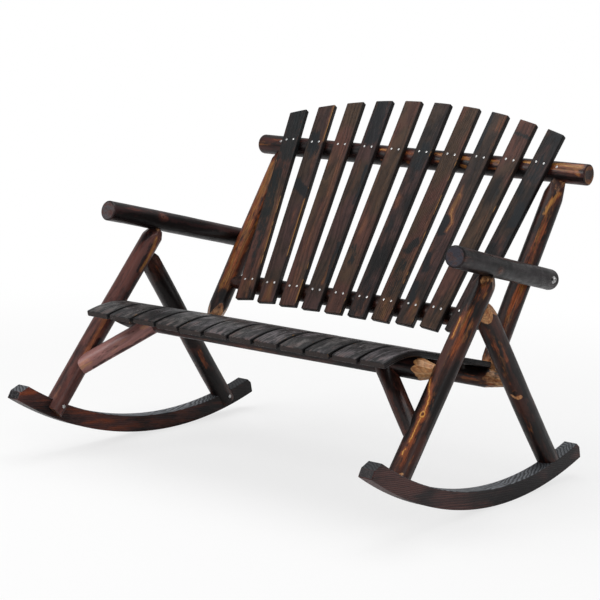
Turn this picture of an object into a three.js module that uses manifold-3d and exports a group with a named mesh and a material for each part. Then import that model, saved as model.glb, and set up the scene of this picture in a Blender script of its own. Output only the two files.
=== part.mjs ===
// Rocking bench of charred fir logs and boards. Millimetres, +Z up, the sitter faces -Y.
// It is built level, then leaned back on its rockers by the rest tilt.
import * as THREE from 'three';
import { mergeVertices } from 'three/addons/utils/BufferGeometryUtils.js';
import Module from 'manifold-3d';

const wasm = await Module();
wasm.setup();

// Shared clearances and tool sizes
const fitGap = 0.3; // air between two pieces that bear on each other
const cutOverrun = 60; // how far a cutting shape runs past the piece
const weldLap = 2; // how far joined parts of one piece run into each other
const logSides = 16; // flats round a log
const tenonSides = 12;
const hewnSides = 6; // axe cuts round a hewn end
const domeSteps = 4;

// Rockers: thick planks sawn to two round edges about one centre
const rockerLength = 1017;
const rockerThickness = 40;
const rockerDepth = 48.5; // sole to top
const rockerSoleRadius = 1275;
const rockerOuterSpan = 1190; // over both outer faces
const rockerFrontChamfer = { along: 20, down: 24 };
const rockerRearChamfer = { along: 12, down: 15 };
const rockerTopSteps = 14;
const soleFlatAngle = THREE.MathUtils.degToRad(5); // the sole is a row of flats, each this wide
const restTilt = THREE.MathUtils.degToRad(7); // how far the bench leans back at rest

// Legs: two A-frames of logs, lapped over the inner top edges of the rockers
// Outset: from the inner face of a rocker out to the middle of the leg
const legRadius = 29;
const frontLegFoot = { outset: 8, along: -374, rise: 16 }; // along and above the sole
const frontLegHead = { outset: -1.5, y: -28, z: 590 };
const rearLegFoot = { outset: 15, along: 406, rise: 19 };
const rearLegHead = { outset: 1.5, y: -47, z: 506 };
const lapBoltRise = 22; // from the foot of a leg up to its bolt

// Armrests: logs on the front legs, bolted to the outer sides of the back posts
const armRadius = 28;
const armFront = { outset: 14, y: -222, z: 629.5 };
const armRearHeight = 587;
const armRearOverhang = 62; // past the middle of the back post
const armBoltSetback = 16; // from the middle of the post back to the bolt
const armDomeLength = 18;
const armSaddle = 0.5; // depth of the hollow that a post lies in

// Back posts and the logs across the back
const postInset = 83; // from the inner face of a rocker in to the middle of a post
const postRadius = 28;
const postSetback = 8; // from the middles of the rails back to the middle of a post
const postSink = 6; // how far the posts' hewn ends go into the rails
const topRailOverhang = 87; // past the middle of a post
const topRailRadius = 29;
const topRailPlace = { y: 427, z: 873 };
const lowerRailRadius = 26;
const lowerRailRise = 140; // above the rear seat rail

// Seat rails: logs between the legs, under the slats
const frontRailRadius = 28;
const frontRailHeight = 343;
const rearRailRadius = 26.5;
const rearRailHeight = 315;

// Braces from the front legs up to the front seat rail
const braceRadius = 25;
const braceFootHeight = 188; // where the brace's axis meets the leg's
const braceReach = 186; // from there to where it meets the rail's, measured along the rail
const braceFootScrewInset = 18; // from the leg's skin to where the screw crosses the brace's axis
const braceHeadScrewInset = 14; // the same below the rail's skin

// Hewn ends and tenons
const hewnLength = 60;
const shortHewnLength = 45;
const tenonRadius = 13;
const shoulderRadius = 16; // of a hewn end, where its tenon starts
const shoulderSink = 3; // how far a hewn end goes into the skin of the next log
const tenonLength = 20;
const pinnedTenonBeyond = 6; // how far a post's tenons go past the middles of the rails
const sawnChamfer = 4;

// Seat slats: boards with a dropped nose, side by side over the two seat rails
const seatSlatWidth = 79.4;
const seatSlatGap = 2.4;
const seatSideGap = 38; // least room between the seat and a front leg
const seatSlatThickness = 16;
const seatNoseReach = 157; // in front of the middle of the front rail
const seatNoseStart = 12; // in front of the middle of the front rail, where the bend starts
const seatNoseDrop = 43;
const seatNoseBend = 1.8; // power of the nose curve
const seatNoseSteps = 6;

// Back slats: boards that fan out upwards, their tops cut to one arch
const backSlatWidth = 57;
const backSlatThickness = 16;
const backSlatPitch = 81; // rough spacing of the slats' middles, at the lower rail
const lowerFanInset = 107; // from the middle of a post to that of the last slat, at the lower rail
const upperFanInset = 44.5; // the same at the top rail
const archRise = 163; // top of the arch above the middle of the top rail
const archRadius = 1556;
const backSlatFoot = 62; // below the middle of the lower rail

// Fasteners
const boltRadius = 4;
const boltHeadRadius = 6.5;
const boltHeadHeight = 4.5;
const washerRadius = 10;
const washerThickness = 2;
const screwRadius = 2.5;
const screwHeadRadius = 4.5;
const screwHeadHeight = 2.5;
const bite = 30; // length of a bolt or screw inside the last piece it holds
const spotFaceDepth = 2; // flat cut in a log for a head to bear on
const spotFaceMargin = 1.5;
const headSink = 7; // how deep a slanting screw's head lies in its log
const boltSides = 6;
const shankSides = 12;

const woodLook = { roughness: 0.55, metalness: 0 };
const logBrown = new THREE.MeshStandardMaterial({ color: 0x4a2a1c, flatShading: true, ...woodLook });
const logBlack = new THREE.MeshStandardMaterial({ color: 0x2b2625, flatShading: true, ...woodLook });
const slatBrown = new THREE.MeshStandardMaterial({ color: 0x4a3830, flatShading: true, ...woodLook });
const slatDark = new THREE.MeshStandardMaterial({ color: 0x302c2c, flatShading: true, ...woodLook });
const seatGrey = new THREE.MeshStandardMaterial({ color: 0x424242, flatShading: true, ...woodLook });
const rockerRed = new THREE.MeshStandardMaterial({ color: 0x46322d, flatShading: true, ...woodLook });
const steel = new THREE.MeshStandardMaterial({ color: 0xc8c8c8, roughness: 0.3, metalness: 1 });

const rockerInnerFace = rockerOuterSpan / 2 - rockerThickness;
const rockerTopRadius = rockerSoleRadius - rockerDepth;
const postPlane = rockerInnerFace - postInset;
const seatNoseLength = seatNoseReach - seatNoseStart;
const backSlatCount = 1 + Math.round((2 * (postPlane - lowerFanInset)) / backSlatPitch);
const lowerPitch = (2 * (postPlane - lowerFanInset)) / (backSlatCount - 1);
const upperPitch = (2 * (postPlane - upperFanInset)) / (backSlatCount - 1);
const bench = new THREE.Group();
const sides = { left: -1, right: 1 }; // as seen from the front

// Solids and meshes

function solidOf(geometry) {
  const bare = geometry.clone();
  bare.deleteAttribute('normal');
  bare.deleteAttribute('uv');
  const merged = mergeVertices(bare);
  const vertProperties = merged.attributes.position.array;
  const triVerts = new Uint32Array(merged.index.array);
  return new wasm.Manifold(new wasm.Mesh({ numProp: 3, vertProperties, triVerts }));
}

function placedSolid(geometry, matrix) {
  return solidOf(geometry.clone().applyMatrix4(matrix));
}

// Adds one piece: its solid is in the level frame of the bench, its mesh in the piece's own frame
function addPiece(name, solid, frame, material) {
  const { vertProperties, triVerts } = solid.getMesh();
  const geometry = new THREE.BufferGeometry();
  geometry.setAttribute('position', new THREE.BufferAttribute(vertProperties, 3));
  geometry.setIndex(new THREE.BufferAttribute(triVerts, 1));
  geometry.applyMatrix4(frame.clone().invert());
  geometry.computeVertexNormals();
  const mesh = new THREE.Mesh(geometry, material);
  mesh.name = name;
  mesh.applyMatrix4(frame);
  bench.add(mesh);
}

// A frame at a point whose Y runs along a direction and whose Z leans towards the facing direction
function frameAlong(origin, direction, facing) {
  const yAxis = direction.clone().normalize();
  const xAxis = new THREE.Vector3().crossVectors(yAxis, facing).normalize();
  const zAxis = new THREE.Vector3().crossVectors(xAxis, yAxis);
  return new THREE.Matrix4().makeBasis(xAxis, yAxis, zAxis).setPosition(origin);
}

// A turned shape whose flats, not its corners, lie at the radii of the profile
function turned(profile, segments) {
  const cornerRatio = 1 / Math.cos(Math.PI / segments);
  const points = profile.map(([radius, y]) => new THREE.Vector2(radius * cornerRatio, y));
  return new THREE.LatheGeometry(points, segments, -Math.PI / segments);
}

function bar(radius, start, end, segments) {
  return turned([[0, start], [radius, start], [radius, end], [0, end]], segments);
}

// Logs

function sawnEnd(radius, at, way) {
  return [[radius, at - way * sawnChamfer], [radius - sawnChamfer, at], [0, at]];
}

function domedEnd(radius, at, way) {
  const points = [];
  for (let step = 0; step <= domeSteps; step += 1) {
    const turn = (Math.PI / 2) * (step / domeSteps);
    const y = at - way * armDomeLength * (1 - Math.sin(turn));
    points.push([step === domeSteps ? 0 : radius * Math.cos(turn), y]);
  }
  return points;
}

function plainEnd(radius, at) {
  return [[radius, at], [0, at]];
}

const endShapes = { sawn: sawnEnd, domed: domedEnd, hewn: plainEnd, plain: plainEnd };

// Adds what a log's ends and place need: its frame, length and end shapes
function makeLog({ from, to, facing, ...shape }) {
  const direction = new THREE.Vector3().subVectors(to, from);
  const frame = frameAlong(from, direction, facing);
  const usual = { hewn: hewnLength, startTenon: tenonLength, endTenon: tenonLength };
  return { frame, length: direction.length(), from, to, ...usual, ...shape };
}

// The pyramid of axe cuts at one end of a log, wide enough elsewhere to leave the log whole
function hewnCutter(log, grow, atEnd) {
  const slope = (log.radius - shoulderRadius) / log.hewn;
  const reach = log.length + cutOverrun;
  const tip = shoulderRadius + grow;
  const profile = [[0, -reach], [tip + slope * reach, -reach], [tip, grow], [0, grow]];
  const geometry = turned(profile, hewnSides);
  if (atEnd) geometry.translate(0, log.length, 0);
  else geometry.rotateZ(Math.PI);
  return placedSolid(geometry, log.frame);
}

function tenonSolid(log, grow, atEnd) {
  const length = atEnd ? log.endTenon : log.startTenon;
  const geometry = bar(tenonRadius + grow, -weldLap, length + grow, tenonSides);
  if (atEnd) geometry.translate(0, log.length, 0);
  else geometry.rotateZ(Math.PI);
  return placedSolid(geometry, log.frame);
}

// The solid of a log, or with a grow value the room that it needs in another piece
function logSolid(log, grow = 0) {
  const radius = log.radius + grow;
  const lower = endShapes[log.start](radius, -grow, -1).reverse();
  const upper = endShapes[log.end](radius, log.length + grow, 1);
  let solid = placedSolid(turned([...lower, ...upper], logSides), log.frame);
  for (const atEnd of [false, true]) {
    const kind = atEnd ? log.end : log.start;
    if (kind !== 'hewn') continue;
    solid = solid.intersect(hewnCutter(log, grow, atEnd)).add(tenonSolid(log, grow, atEnd));
  }
  return solid;
}

const roomFor = (log) => logSolid(log, fitGap);

// Places of the logs, in the level frame

const point = (x, y, z) => new THREE.Vector3(x, y, z);

// The point of a rocker at a radius about its centre and an angle back from its lowest point
function rockerPoint(radius, angle) {
  return new THREE.Vector2(radius * Math.sin(angle), rockerSoleRadius - radius * Math.cos(angle));
}

// The axis of a right-hand leg
function legLine(foot, head) {
  const low = rockerPoint(rockerSoleRadius - foot.rise, foot.along / rockerSoleRadius);
  return {
    foot: point(rockerInnerFace + foot.outset, low.x, low.y),
    head: point(rockerInnerFace + head.outset, head.y, head.z),
  };
}

const frontLegLine = legLine(frontLegFoot, frontLegHead);
const rearLegLine = legLine(rearLegFoot, rearLegHead);

// The point of a leg's axis at a height
function legPoint(side, { foot, head }, z) {
  const place = foot.clone().lerp(head, (z - foot.z) / (head.z - foot.z));
  return place.setX(side * place.x);
}

const frontLegAt = (side, z) => legPoint(side, frontLegLine, z);
const rearLegAt = (side, z) => legPoint(side, rearLegLine, z);
const slopeOf = ({ foot, head }) => (head.y - foot.y) / (head.z - foot.z);
const frontRailPlace = frontLegAt(1, frontRailHeight);
const rearRailPlace = rearLegAt(1, rearRailHeight);

// Where the line from the rear seat rail up to the top rail passes a height
function backLineY(z) {
  const share = (z - rearRailPlace.z) / (topRailPlace.z - rearRailPlace.z);
  return THREE.MathUtils.lerp(rearRailPlace.y, topRailPlace.y, share);
}

const postPoint = (side, z) => point(side * postPlane, backLineY(z) + postSetback, z);
const lowerRailHeight = rearRailHeight + lowerRailRise;
const lowerRailPlace = { y: backLineY(lowerRailHeight), z: lowerRailHeight };

// The straight line that bears on two cross logs: a unit vector along it, a unit normal away
// from the logs, and the point over the middle of the first log
function bearingLine(first, firstRadius, second, secondRadius, outward) {
  const across = point(0, second.y - first.y, second.z - first.z);
  const spacing = across.length();
  const along = across.clone().normalize();
  const away = new THREE.Vector3().crossVectors(point(outward, 0, 0), along);
  const sine = (secondRadius - firstRadius) / spacing;
  const cosine = Math.sqrt(1 - sine * sine);
  const normal = away.clone().multiplyScalar(cosine).addScaledVector(along, -sine);
  const run = along.clone().multiplyScalar(cosine).addScaledVector(away, sine);
  const origin = point(0, first.y, first.z).addScaledVector(normal, firstRadius + fitGap);
  return { origin, run, normal, spacing: spacing * cosine };
}

const seatLine = bearingLine(frontRailPlace, frontRailRadius, rearRailPlace, rearRailRadius, 1);
const backLine = bearingLine(lowerRailPlace, lowerRailRadius, topRailPlace, topRailRadius, 1);

function crossLog(place, radius, halfLength, normal, endKind) {
  return makeLog({
    from: point(-halfLength, place.y, place.z),
    to: point(halfLength, place.y, place.z),
    radius,
    facing: normal,
    start: endKind,
    end: endKind,
  });
}

const frontRailHalf = frontRailPlace.x - legRadius + shoulderSink;
const rearRailHalf = rearRailPlace.x - legRadius + shoulderSink;
const lowerRailHalf = postPlane - postRadius + shoulderSink;
const frontRail = crossLog(frontRailPlace, frontRailRadius, frontRailHalf, seatLine.normal, 'hewn');
const rearRail = crossLog(rearRailPlace, rearRailRadius, rearRailHalf, seatLine.normal, 'hewn');
const topRailHalf = postPlane + topRailOverhang;
const topRail = crossLog(topRailPlace, topRailRadius, topRailHalf, backLine.normal, 'sawn');
const lowerRail = crossLog(lowerRailPlace, lowerRailRadius, lowerRailHalf, backLine.normal, 'hewn');

// An armrest lies on the front leg and against the outer side of the post
function makeArm(side) {
  const front = point(side * (rockerInnerFace + armFront.outset), armFront.y, armFront.z);
  const atPost = postPoint(side, armRearHeight);
  atPost.x = side * (postPlane + postRadius + armRadius - armSaddle);
  const along = new THREE.Vector3().subVectors(atPost, front).normalize();
  return makeLog({
    from: front,
    to: atPost.addScaledVector(along, armRearOverhang),
    radius: armRadius,
    facing: point(0, 0, 1),
    start: 'sawn',
    end: 'domed',
  });
}

// The front leg's hewn end meets the skin of the armrest from below
function makeFrontLeg(side, arm) {
  const { foot } = frontLegLine;
  const armSlope = (arm.to.z - arm.from.z) / (arm.to.y - arm.from.y);
  const slope = slopeOf(frontLegLine);
  const skin = armRadius - shoulderSink;
  const levelHead = arm.from.z + armSlope * (foot.y - slope * foot.z - arm.from.y);
  const headZ = (levelHead - skin) / (1 - armSlope * slope);
  return makeLog({
    from: frontLegAt(side, foot.z),
    to: frontLegAt(side, headZ),
    radius: legRadius,
    facing: point(1, 0, 0),
    start: 'plain',
    end: 'hewn',
    hewn: shortHewnLength,
  });
}

// The rear leg's hewn end meets the rear side of the front leg
function makeRearLeg(side) {
  const frontSlope = slopeOf(frontLegLine);
  const rearSlope = slopeOf(rearLegLine);
  const crossOffset = frontLegLine.foot.y - rearLegLine.foot.y;
  const footOffset = rearSlope * rearLegLine.foot.z - frontSlope * frontLegLine.foot.z;
  const crossZ = (crossOffset + footOffset) / (rearSlope - frontSlope);
  const skin = (legRadius - shoulderSink) / Math.sin(Math.atan(frontSlope) - Math.atan(rearSlope));
  const foot = rearLegAt(side, rearLegLine.foot.z);
  const cross = rearLegAt(side, crossZ);
  const back = new THREE.Vector3().subVectors(foot, cross).normalize();
  return makeLog({
    from: foot,
    to: cross.addScaledVector(back, skin),
    radius: legRadius,
    facing: point(1, 0, 0),
    start: 'plain',
    end: 'hewn',
    hewn: shortHewnLength,
  });
}

function makePost(side) {
  const foot = postPoint(side, rearRailPlace.z);
  const head = postPoint(side, topRailPlace.z);
  const along = new THREE.Vector3().subVectors(head, foot).normalize();
  return makeLog({
    from: foot.addScaledVector(along, rearRailRadius - postSink),
    to: head.addScaledVector(along, postSink - topRailRadius),
    radius: postRadius,
    facing: point(1, 0, 0),
    start: 'hewn',
    end: 'hewn',
    startTenon: rearRailRadius - postSink + pinnedTenonBeyond,
    endTenon: topRailRadius - postSink + pinnedTenonBeyond,
  });
}

// A brace runs from the middle of the front leg to the middle of the rail, before its ends are cut
function makeBrace(side) {
  const foot = frontLegAt(side, braceFootHeight);
  const head = point(foot.x - side * braceReach, frontRailPlace.y, frontRailPlace.z);
  return makeLog({
    from: foot,
    to: head,
    radius: braceRadius,
    facing: point(0, 0, 1),
    start: 'plain',
    end: 'plain',
  });
}

// Shapes drawn in a Y-Z plane and pushed out along X

const ALONG_X = new THREE.Matrix4().makeBasis(point(0, 1, 0), point(0, 0, 1), point(1, 0, 0));

function pushedOut(shape, fromX, toX) {
  const geometry = new THREE.ExtrudeGeometry(shape, { depth: toX - fromX, bevelEnabled: false });
  const matrix = new THREE.Matrix4().makeTranslation(fromX, 0, 0).multiply(ALONG_X);
  return placedSolid(geometry, matrix);
}

const rockerHalfAngle = Math.asin(rockerLength / 2 / rockerSoleRadius);

// The corners of the sole's flats; one flat lies level when the bench leans back by the rest tilt
function solePoints() {
  const points = [rockerPoint(rockerSoleRadius, -rockerHalfAngle)];
  const firstCorner = restTilt - soleFlatAngle / 2;
  const back = Math.floor((firstCorner + rockerHalfAngle) / soleFlatAngle);
  for (let step = -back; firstCorner + step * soleFlatAngle < rockerHalfAngle; step += 1) {
    points.push(rockerPoint(rockerSoleRadius, firstCorner + step * soleFlatAngle));
  }
  points.push(rockerPoint(rockerSoleRadius, rockerHalfAngle));
  return points;
}

// The corners that replace a top corner of the rocker, whose end cut points at the centre
function chamferedCorner(endAngle, chamfer) {
  const onEnd = rockerPoint(rockerTopRadius + chamfer.down, endAngle);
  return { onEnd, topAngle: endAngle - Math.sign(endAngle) * (chamfer.along / rockerTopRadius) };
}

function rockerShape() {
  const rear = chamferedCorner(rockerHalfAngle, rockerRearChamfer);
  const front = chamferedCorner(-rockerHalfAngle, rockerFrontChamfer);
  const top = [];
  for (let step = 0; step <= rockerTopSteps; step += 1) {
    const angle = THREE.MathUtils.lerp(rear.topAngle, front.topAngle, step / rockerTopSteps);
    top.push(rockerPoint(rockerTopRadius, angle));
  }
  return new THREE.Shape([...solePoints(), rear.onEnd, ...top, front.onEnd]);
}

function spanX(side, inner, outer) {
  return side > 0 ? [inner, outer] : [-outer, -inner];
}

function rockerSolid(side) {
  return pushedOut(rockerShape(), ...spanX(side, rockerInnerFace, rockerOuterSpan / 2));
}

// What a lapped leg loses: all that is outside the rocker's inner face and below its round top
function lapCutter(side) {
  const endAngle = rockerHalfAngle + soleFlatAngle;
  const shape = new THREE.Shape();
  const radius = rockerTopRadius - fitGap;
  for (let step = 0; step <= rockerTopSteps; step += 1) {
    const angle = THREE.MathUtils.lerp(endAngle, -endAngle, step / rockerTopSteps);
    const { x, y } = rockerPoint(radius, angle);
    if (step === 0) shape.moveTo(x, y);
    else shape.lineTo(x, y);
  }
  const reach = rockerPoint(radius, endAngle).x;
  shape.lineTo(-reach, -cutOverrun);
  shape.lineTo(reach, -cutOverrun);
  const outer = rockerOuterSpan / 2 + cutOverrun;
  return pushedOut(shape, ...spanX(side, rockerInnerFace - fitGap, outer));
}

// Slats

// The frame of a flat that bears on two cross logs: X across, Y along it, Z away from the logs
function bearingFrame(line, x) {
  const origin = line.origin.clone().setX(x);
  return new THREE.Matrix4().makeBasis(point(1, 0, 0), line.run, line.normal).setPosition(origin);
}

// How far the seat has bent down at a place along a slat, measured back from the front rail
function noseDropAt(along) {
  const bend = seatNoseLength - seatNoseReach - along;
  return bend > 0 ? seatNoseDrop * (bend / seatNoseLength) ** seatNoseBend : 0;
}

function seatSlatShape() {
  const underside = [];
  for (let step = 0; step <= seatNoseSteps; step += 1) {
    const along = -seatNoseReach + seatNoseLength * (step / seatNoseSteps);
    underside.push(new THREE.Vector2(along, -noseDropAt(along)));
  }
  underside.push(new THREE.Vector2(seatLine.spacing, 0));
  const top = underside.map(({ x, y }) => new THREE.Vector2(x, y + seatSlatThickness)).reverse();
  return new THREE.Shape([...underside, ...top]);
}

const seatPitch = seatSlatWidth + seatSlatGap;
const seatRoom = 2 * (frontRailPlace.x - legRadius - seatSideGap);
const seatSlatCount = Math.floor((seatRoom + seatSlatGap) / seatPitch);

function seatSlat(index) {
  const middle = (index - (seatSlatCount - 1) / 2) * seatPitch;
  const frame = bearingFrame(seatLine, middle);
  const depth = seatSlatWidth;
  const geometry = new THREE.ExtrudeGeometry(seatSlatShape(), { depth, bevelEnabled: false });
  const upright = ALONG_X.clone().setPosition(-depth / 2, 0, 0);
  return { frame, solid: placedSolid(geometry.applyMatrix4(upright), frame) };
}

// The point where a line, in the plane of the back, meets the arch that tops the slats
function onArch(start, direction) {
  const centre = new THREE.Vector2(0, backLine.spacing + archRise - archRadius);
  const away = new THREE.Vector2().subVectors(start, centre);
  const forward = away.dot(direction);
  const reach = Math.sqrt(forward ** 2 - away.lengthSq() + archRadius ** 2) - forward;
  return start.clone().addScaledVector(direction, reach);
}

function backSlatShape(index) {
  const rank = index - (backSlatCount - 1) / 2;
  const fan = Math.atan((rank * (upperPitch - lowerPitch)) / backLine.spacing);
  const along = new THREE.Vector2(Math.sin(fan), Math.cos(fan));
  const across = new THREE.Vector2(Math.cos(fan), -Math.sin(fan));
  const middle = new THREE.Vector2(rank * lowerPitch, 0);
  const at = (sideways) => middle.clone().addScaledVector(across, sideways);
  const half = backSlatWidth / 2;
  const foot = [-half, half].map((x) => at(x).addScaledVector(along, -backSlatFoot));
  const head = [half, 0, -half].map((x) => onArch(at(x), along));
  return new THREE.Shape([...foot, ...head]);
}

function backSlat(index) {
  const frame = bearingFrame(backLine, 0);
  const options = { depth: backSlatThickness, bevelEnabled: false };
  const geometry = new THREE.ExtrudeGeometry(backSlatShape(index), options);
  return { frame, solid: placedSolid(geometry, frame) };
}

// Fasteners: Y runs into the wood, and the head stands on the plane at zero

function fastenerSolid({ frame, length, shank, head, height, headSides }) {
  const cap = placedSolid(bar(head, -height, 0, headSides), frame);
  return cap.add(placedSolid(bar(shank, -weldLap, length, shankSides), frame));
}

// The hole for a fastener, with the flat that its head or washer bears on
function fastenerRoom({ frame, length, shank, bearing, standOff }) {
  const seatRadius = bearing + spotFaceMargin;
  const hole = placedSolid(bar(shank + fitGap, 0, length + fitGap, shankSides), frame);
  return hole.add(placedSolid(bar(seatRadius, -cutOverrun, standOff + fitGap, shankSides), frame));
}

function makeBolt(origin, direction, length) {
  const frame = frameAlong(origin, direction, point(0, 0, 1));
  const sizes = { shank: boltRadius, head: boltHeadRadius, height: boltHeadHeight };
  return { frame, length, ...sizes, headSides: boltSides, bearing: boltHeadRadius, standOff: 0 };
}

function makeScrew(origin, direction, length) {
  const frame = frameAlong(origin, direction, point(1, 1, 0));
  const sizes = { shank: screwRadius, head: screwHeadRadius, height: screwHeadHeight };
  return { frame, length, ...sizes, headSides: shankSides, bearing: screwHeadRadius, standOff: 0 };
}

function washerSolid(bolt) {
  const hole = bolt.shank + fitGap;
  const [low, high] = [fitGap, fitGap + washerThickness];
  const ring = [[hole, low], [washerRadius, low], [washerRadius, high], [hole, high], [hole, low]];
  return placedSolid(turned(ring, shankSides), bolt.frame);
}

// A bolt from the inner side of a leg, through its lap, into the rocker
function rockerBolt(side, leg) {
  const along = new THREE.Vector3().subVectors(leg.to, leg.from).normalize();
  const faceDepth = leg.radius - spotFaceDepth;
  const origin = leg.from.clone().addScaledVector(along, lapBoltRise);
  origin.x -= side * faceDepth;
  const length = rockerInnerFace - Math.abs(origin.x) + bite;
  return makeBolt(origin, point(side, 0, 0), length);
}

// A bolt and washer from the outer side of an armrest into the back post
function armBolt(side, arm) {
  const y = postPoint(side, armRearHeight).y + armBoltSetback;
  const share = (y - arm.from.y) / (arm.to.y - arm.from.y);
  const origin = arm.from.clone().lerp(arm.to, share);
  const standOff = washerThickness + fitGap;
  const outer = Math.abs(origin.x) + armRadius - spotFaceDepth + standOff;
  const length = outer - postPlane - postRadius + bite;
  const bolt = makeBolt(origin.setX(side * outer), point(-side, 0, 0), length);
  return { ...bolt, bearing: washerRadius, standOff };
}

// A screw from the front of the top rail through the tenon of the post
function topRailScrew(side) {
  const faceDepth = topRailRadius - spotFaceDepth;
  const middle = point(side * postPlane, topRailPlace.y, topRailPlace.z);
  const origin = middle.addScaledVector(backLine.normal, faceDepth);
  const into = backLine.normal.clone().negate();
  return makeScrew(origin, into, faceDepth + tenonRadius);
}

// A slanting screw that crosses a brace's axis at a point and then runs on for a given distance
function slantingScrew(brace, cross, direction, beyond) {
  const along = new THREE.Vector3().subVectors(brace.to, brace.from).normalize();
  const slant = Math.sqrt(1 - along.dot(direction) ** 2);
  const before = brace.radius / slant - headSink;
  const origin = cross.clone().addScaledVector(direction, -before);
  return makeScrew(origin, direction, before + beyond);
}

function braceFootScrew(side, brace) {
  const x = frontLegAt(1, braceFootHeight).x - legRadius - braceFootScrewInset;
  const share = (side * x - brace.from.x) / (brace.to.x - brace.from.x);
  const cross = brace.from.clone().lerp(brace.to, share);
  return slantingScrew(brace, cross, point(side, 0, 0), braceFootScrewInset + bite);
}

function braceHeadScrew(brace) {
  const z = frontRailPlace.z - frontRailRadius - braceHeadScrewInset;
  const share = (z - brace.from.z) / (brace.to.z - brace.from.z);
  const cross = brace.from.clone().lerp(brace.to, share);
  const towardsRail = point(0, frontRailPlace.y - cross.y, frontRailPlace.z - cross.z);
  const beyond = towardsRail.length() - frontRailRadius + bite;
  return slantingScrew(brace, cross, towardsRail.normalize(), beyond);
}

// Assembly

function cut(solid, ...rooms) {
  return rooms.reduce((left, room) => left.subtract(room), solid);
}

function addLog(name, log, rooms, material) {
  addPiece(name, cut(logSolid(log), ...rooms), log.frame, material);
}

function addFastener(name, fastener) {
  addPiece(name, fastenerSolid(fastener), fastener.frame, steel);
}

const railRooms = { front: [], rear: [], top: [] };
const lowerRailRoom = roomFor(lowerRail);
const frontRailRoom = roomFor(frontRail);
const rearRailRoom = roomFor(rearRail);
const posts = {};

for (const [name, side] of Object.entries(sides)) {
  const arm = makeArm(side);
  const frontLeg = makeFrontLeg(side, arm);
  const rearLeg = makeRearLeg(side);
  const post = makePost(side);
  const brace = makeBrace(side);
  const frontBolt = rockerBolt(side, frontLeg);
  const rearBolt = rockerBolt(side, rearLeg);
  const sideBolt = armBolt(side, arm);
  const railScrew = topRailScrew(side);
  const footScrew = braceFootScrew(side, brace);
  const headScrew = braceHeadScrew(brace);
  const [frontHole, rearHole, armHole] = [frontBolt, rearBolt, sideBolt].map(fastenerRoom);
  const [railHole, footHole, headHole] = [railScrew, footScrew, headScrew].map(fastenerRoom);
  const lap = lapCutter(side);
  const postRoom = roomFor(post);
  posts[name] = postRoom;

  const rockerFrame = new THREE.Matrix4().makeTranslation(side * rockerInnerFace, 0, 0);
  const rocker = cut(rockerSolid(side), frontHole, rearHole);
  addPiece(`rocker_${name}`, rocker, rockerFrame, rockerRed);
  const frontLegRooms = [lap, frontHole, roomFor(rearLeg), frontRailRoom, footHole];
  addLog(`front_leg_${name}`, frontLeg, frontLegRooms, logBrown);
  addLog(`rear_leg_${name}`, rearLeg, [lap, rearHole, rearRailRoom], logBrown);
  addLog(`armrest_${name}`, arm, [roomFor(frontLeg), postRoom, armHole], logBlack);
  addLog(`back_post_${name}`, post, [lowerRailRoom, armHole, railHole], logBrown);
  const braceRooms = [roomFor(frontLeg), frontRailRoom, footHole, headHole];
  addLog(`brace_${name}`, brace, braceRooms, logBrown);

  addFastener(`rocker_front_bolt_${name}`, frontBolt);
  addFastener(`rocker_rear_bolt_${name}`, rearBolt);
  addFastener(`armrest_bolt_${name}`, sideBolt);
  addPiece(`armrest_washer_${name}`, washerSolid(sideBolt), sideBolt.frame, steel);
  addFastener(`top_rail_screw_${name}`, railScrew);
  addFastener(`brace_foot_screw_${name}`, footScrew);
  addFastener(`brace_head_screw_${name}`, headScrew);
  railRooms.front.push(headHole);
  railRooms.rear.push(postRoom);
  railRooms.top.push(postRoom, railHole);
}

addLog('front_seat_rail', frontRail, railRooms.front, logBlack);
addLog('rear_seat_rail', rearRail, railRooms.rear, logBrown);
addLog('top_rail', topRail, railRooms.top, logBlack);
addLog('lower_back_rail', lowerRail, [], logBrown);

for (let index = 0; index < seatSlatCount; index += 1) {
  const { frame, solid } = seatSlat(index);
  const name = `seat_slat_${String(index + 1).padStart(2, '0')}`;
  addPiece(name, cut(solid, posts.left, posts.right), frame, seatGrey);
}
for (let index = 0; index < backSlatCount; index += 1) {
  const { frame, solid } = backSlat(index);
  const name = `back_slat_${String(index + 1).padStart(2, '0')}`;
  addPiece(name, solid, frame, index % 2 ? slatDark : slatBrown);
}

// Leans the bench back about the centre of its soles, then stands it over the origin
function leanedBack() {
  const part = new THREE.Group();
  const leaning = new THREE.Group();
  part.add(leaning);
  leaning.add(bench);
  bench.position.z = -rockerSoleRadius;
  leaning.rotation.x = -restTilt;
  leaning.position.z = rockerSoleRadius;
  part.updateMatrixWorld(true);
  const box = new THREE.Box3().setFromObject(part, true);
  leaning.position.y -= (box.min.y + box.max.y) / 2;
  leaning.position.z -= box.min.z;
  return part;
}

export default leanedBack();
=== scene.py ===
# Rocking bench of charred logs and boards on a pale floor.
# Shapes are worked out in millimetres in the level frame of the bench, before it leans back on its
# rockers, and the meshes are in metres. A share is a part of a length, a radius or a colour range.
import math

import bpy
import numpy as np
from mathutils import Matrix, Vector


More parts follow.
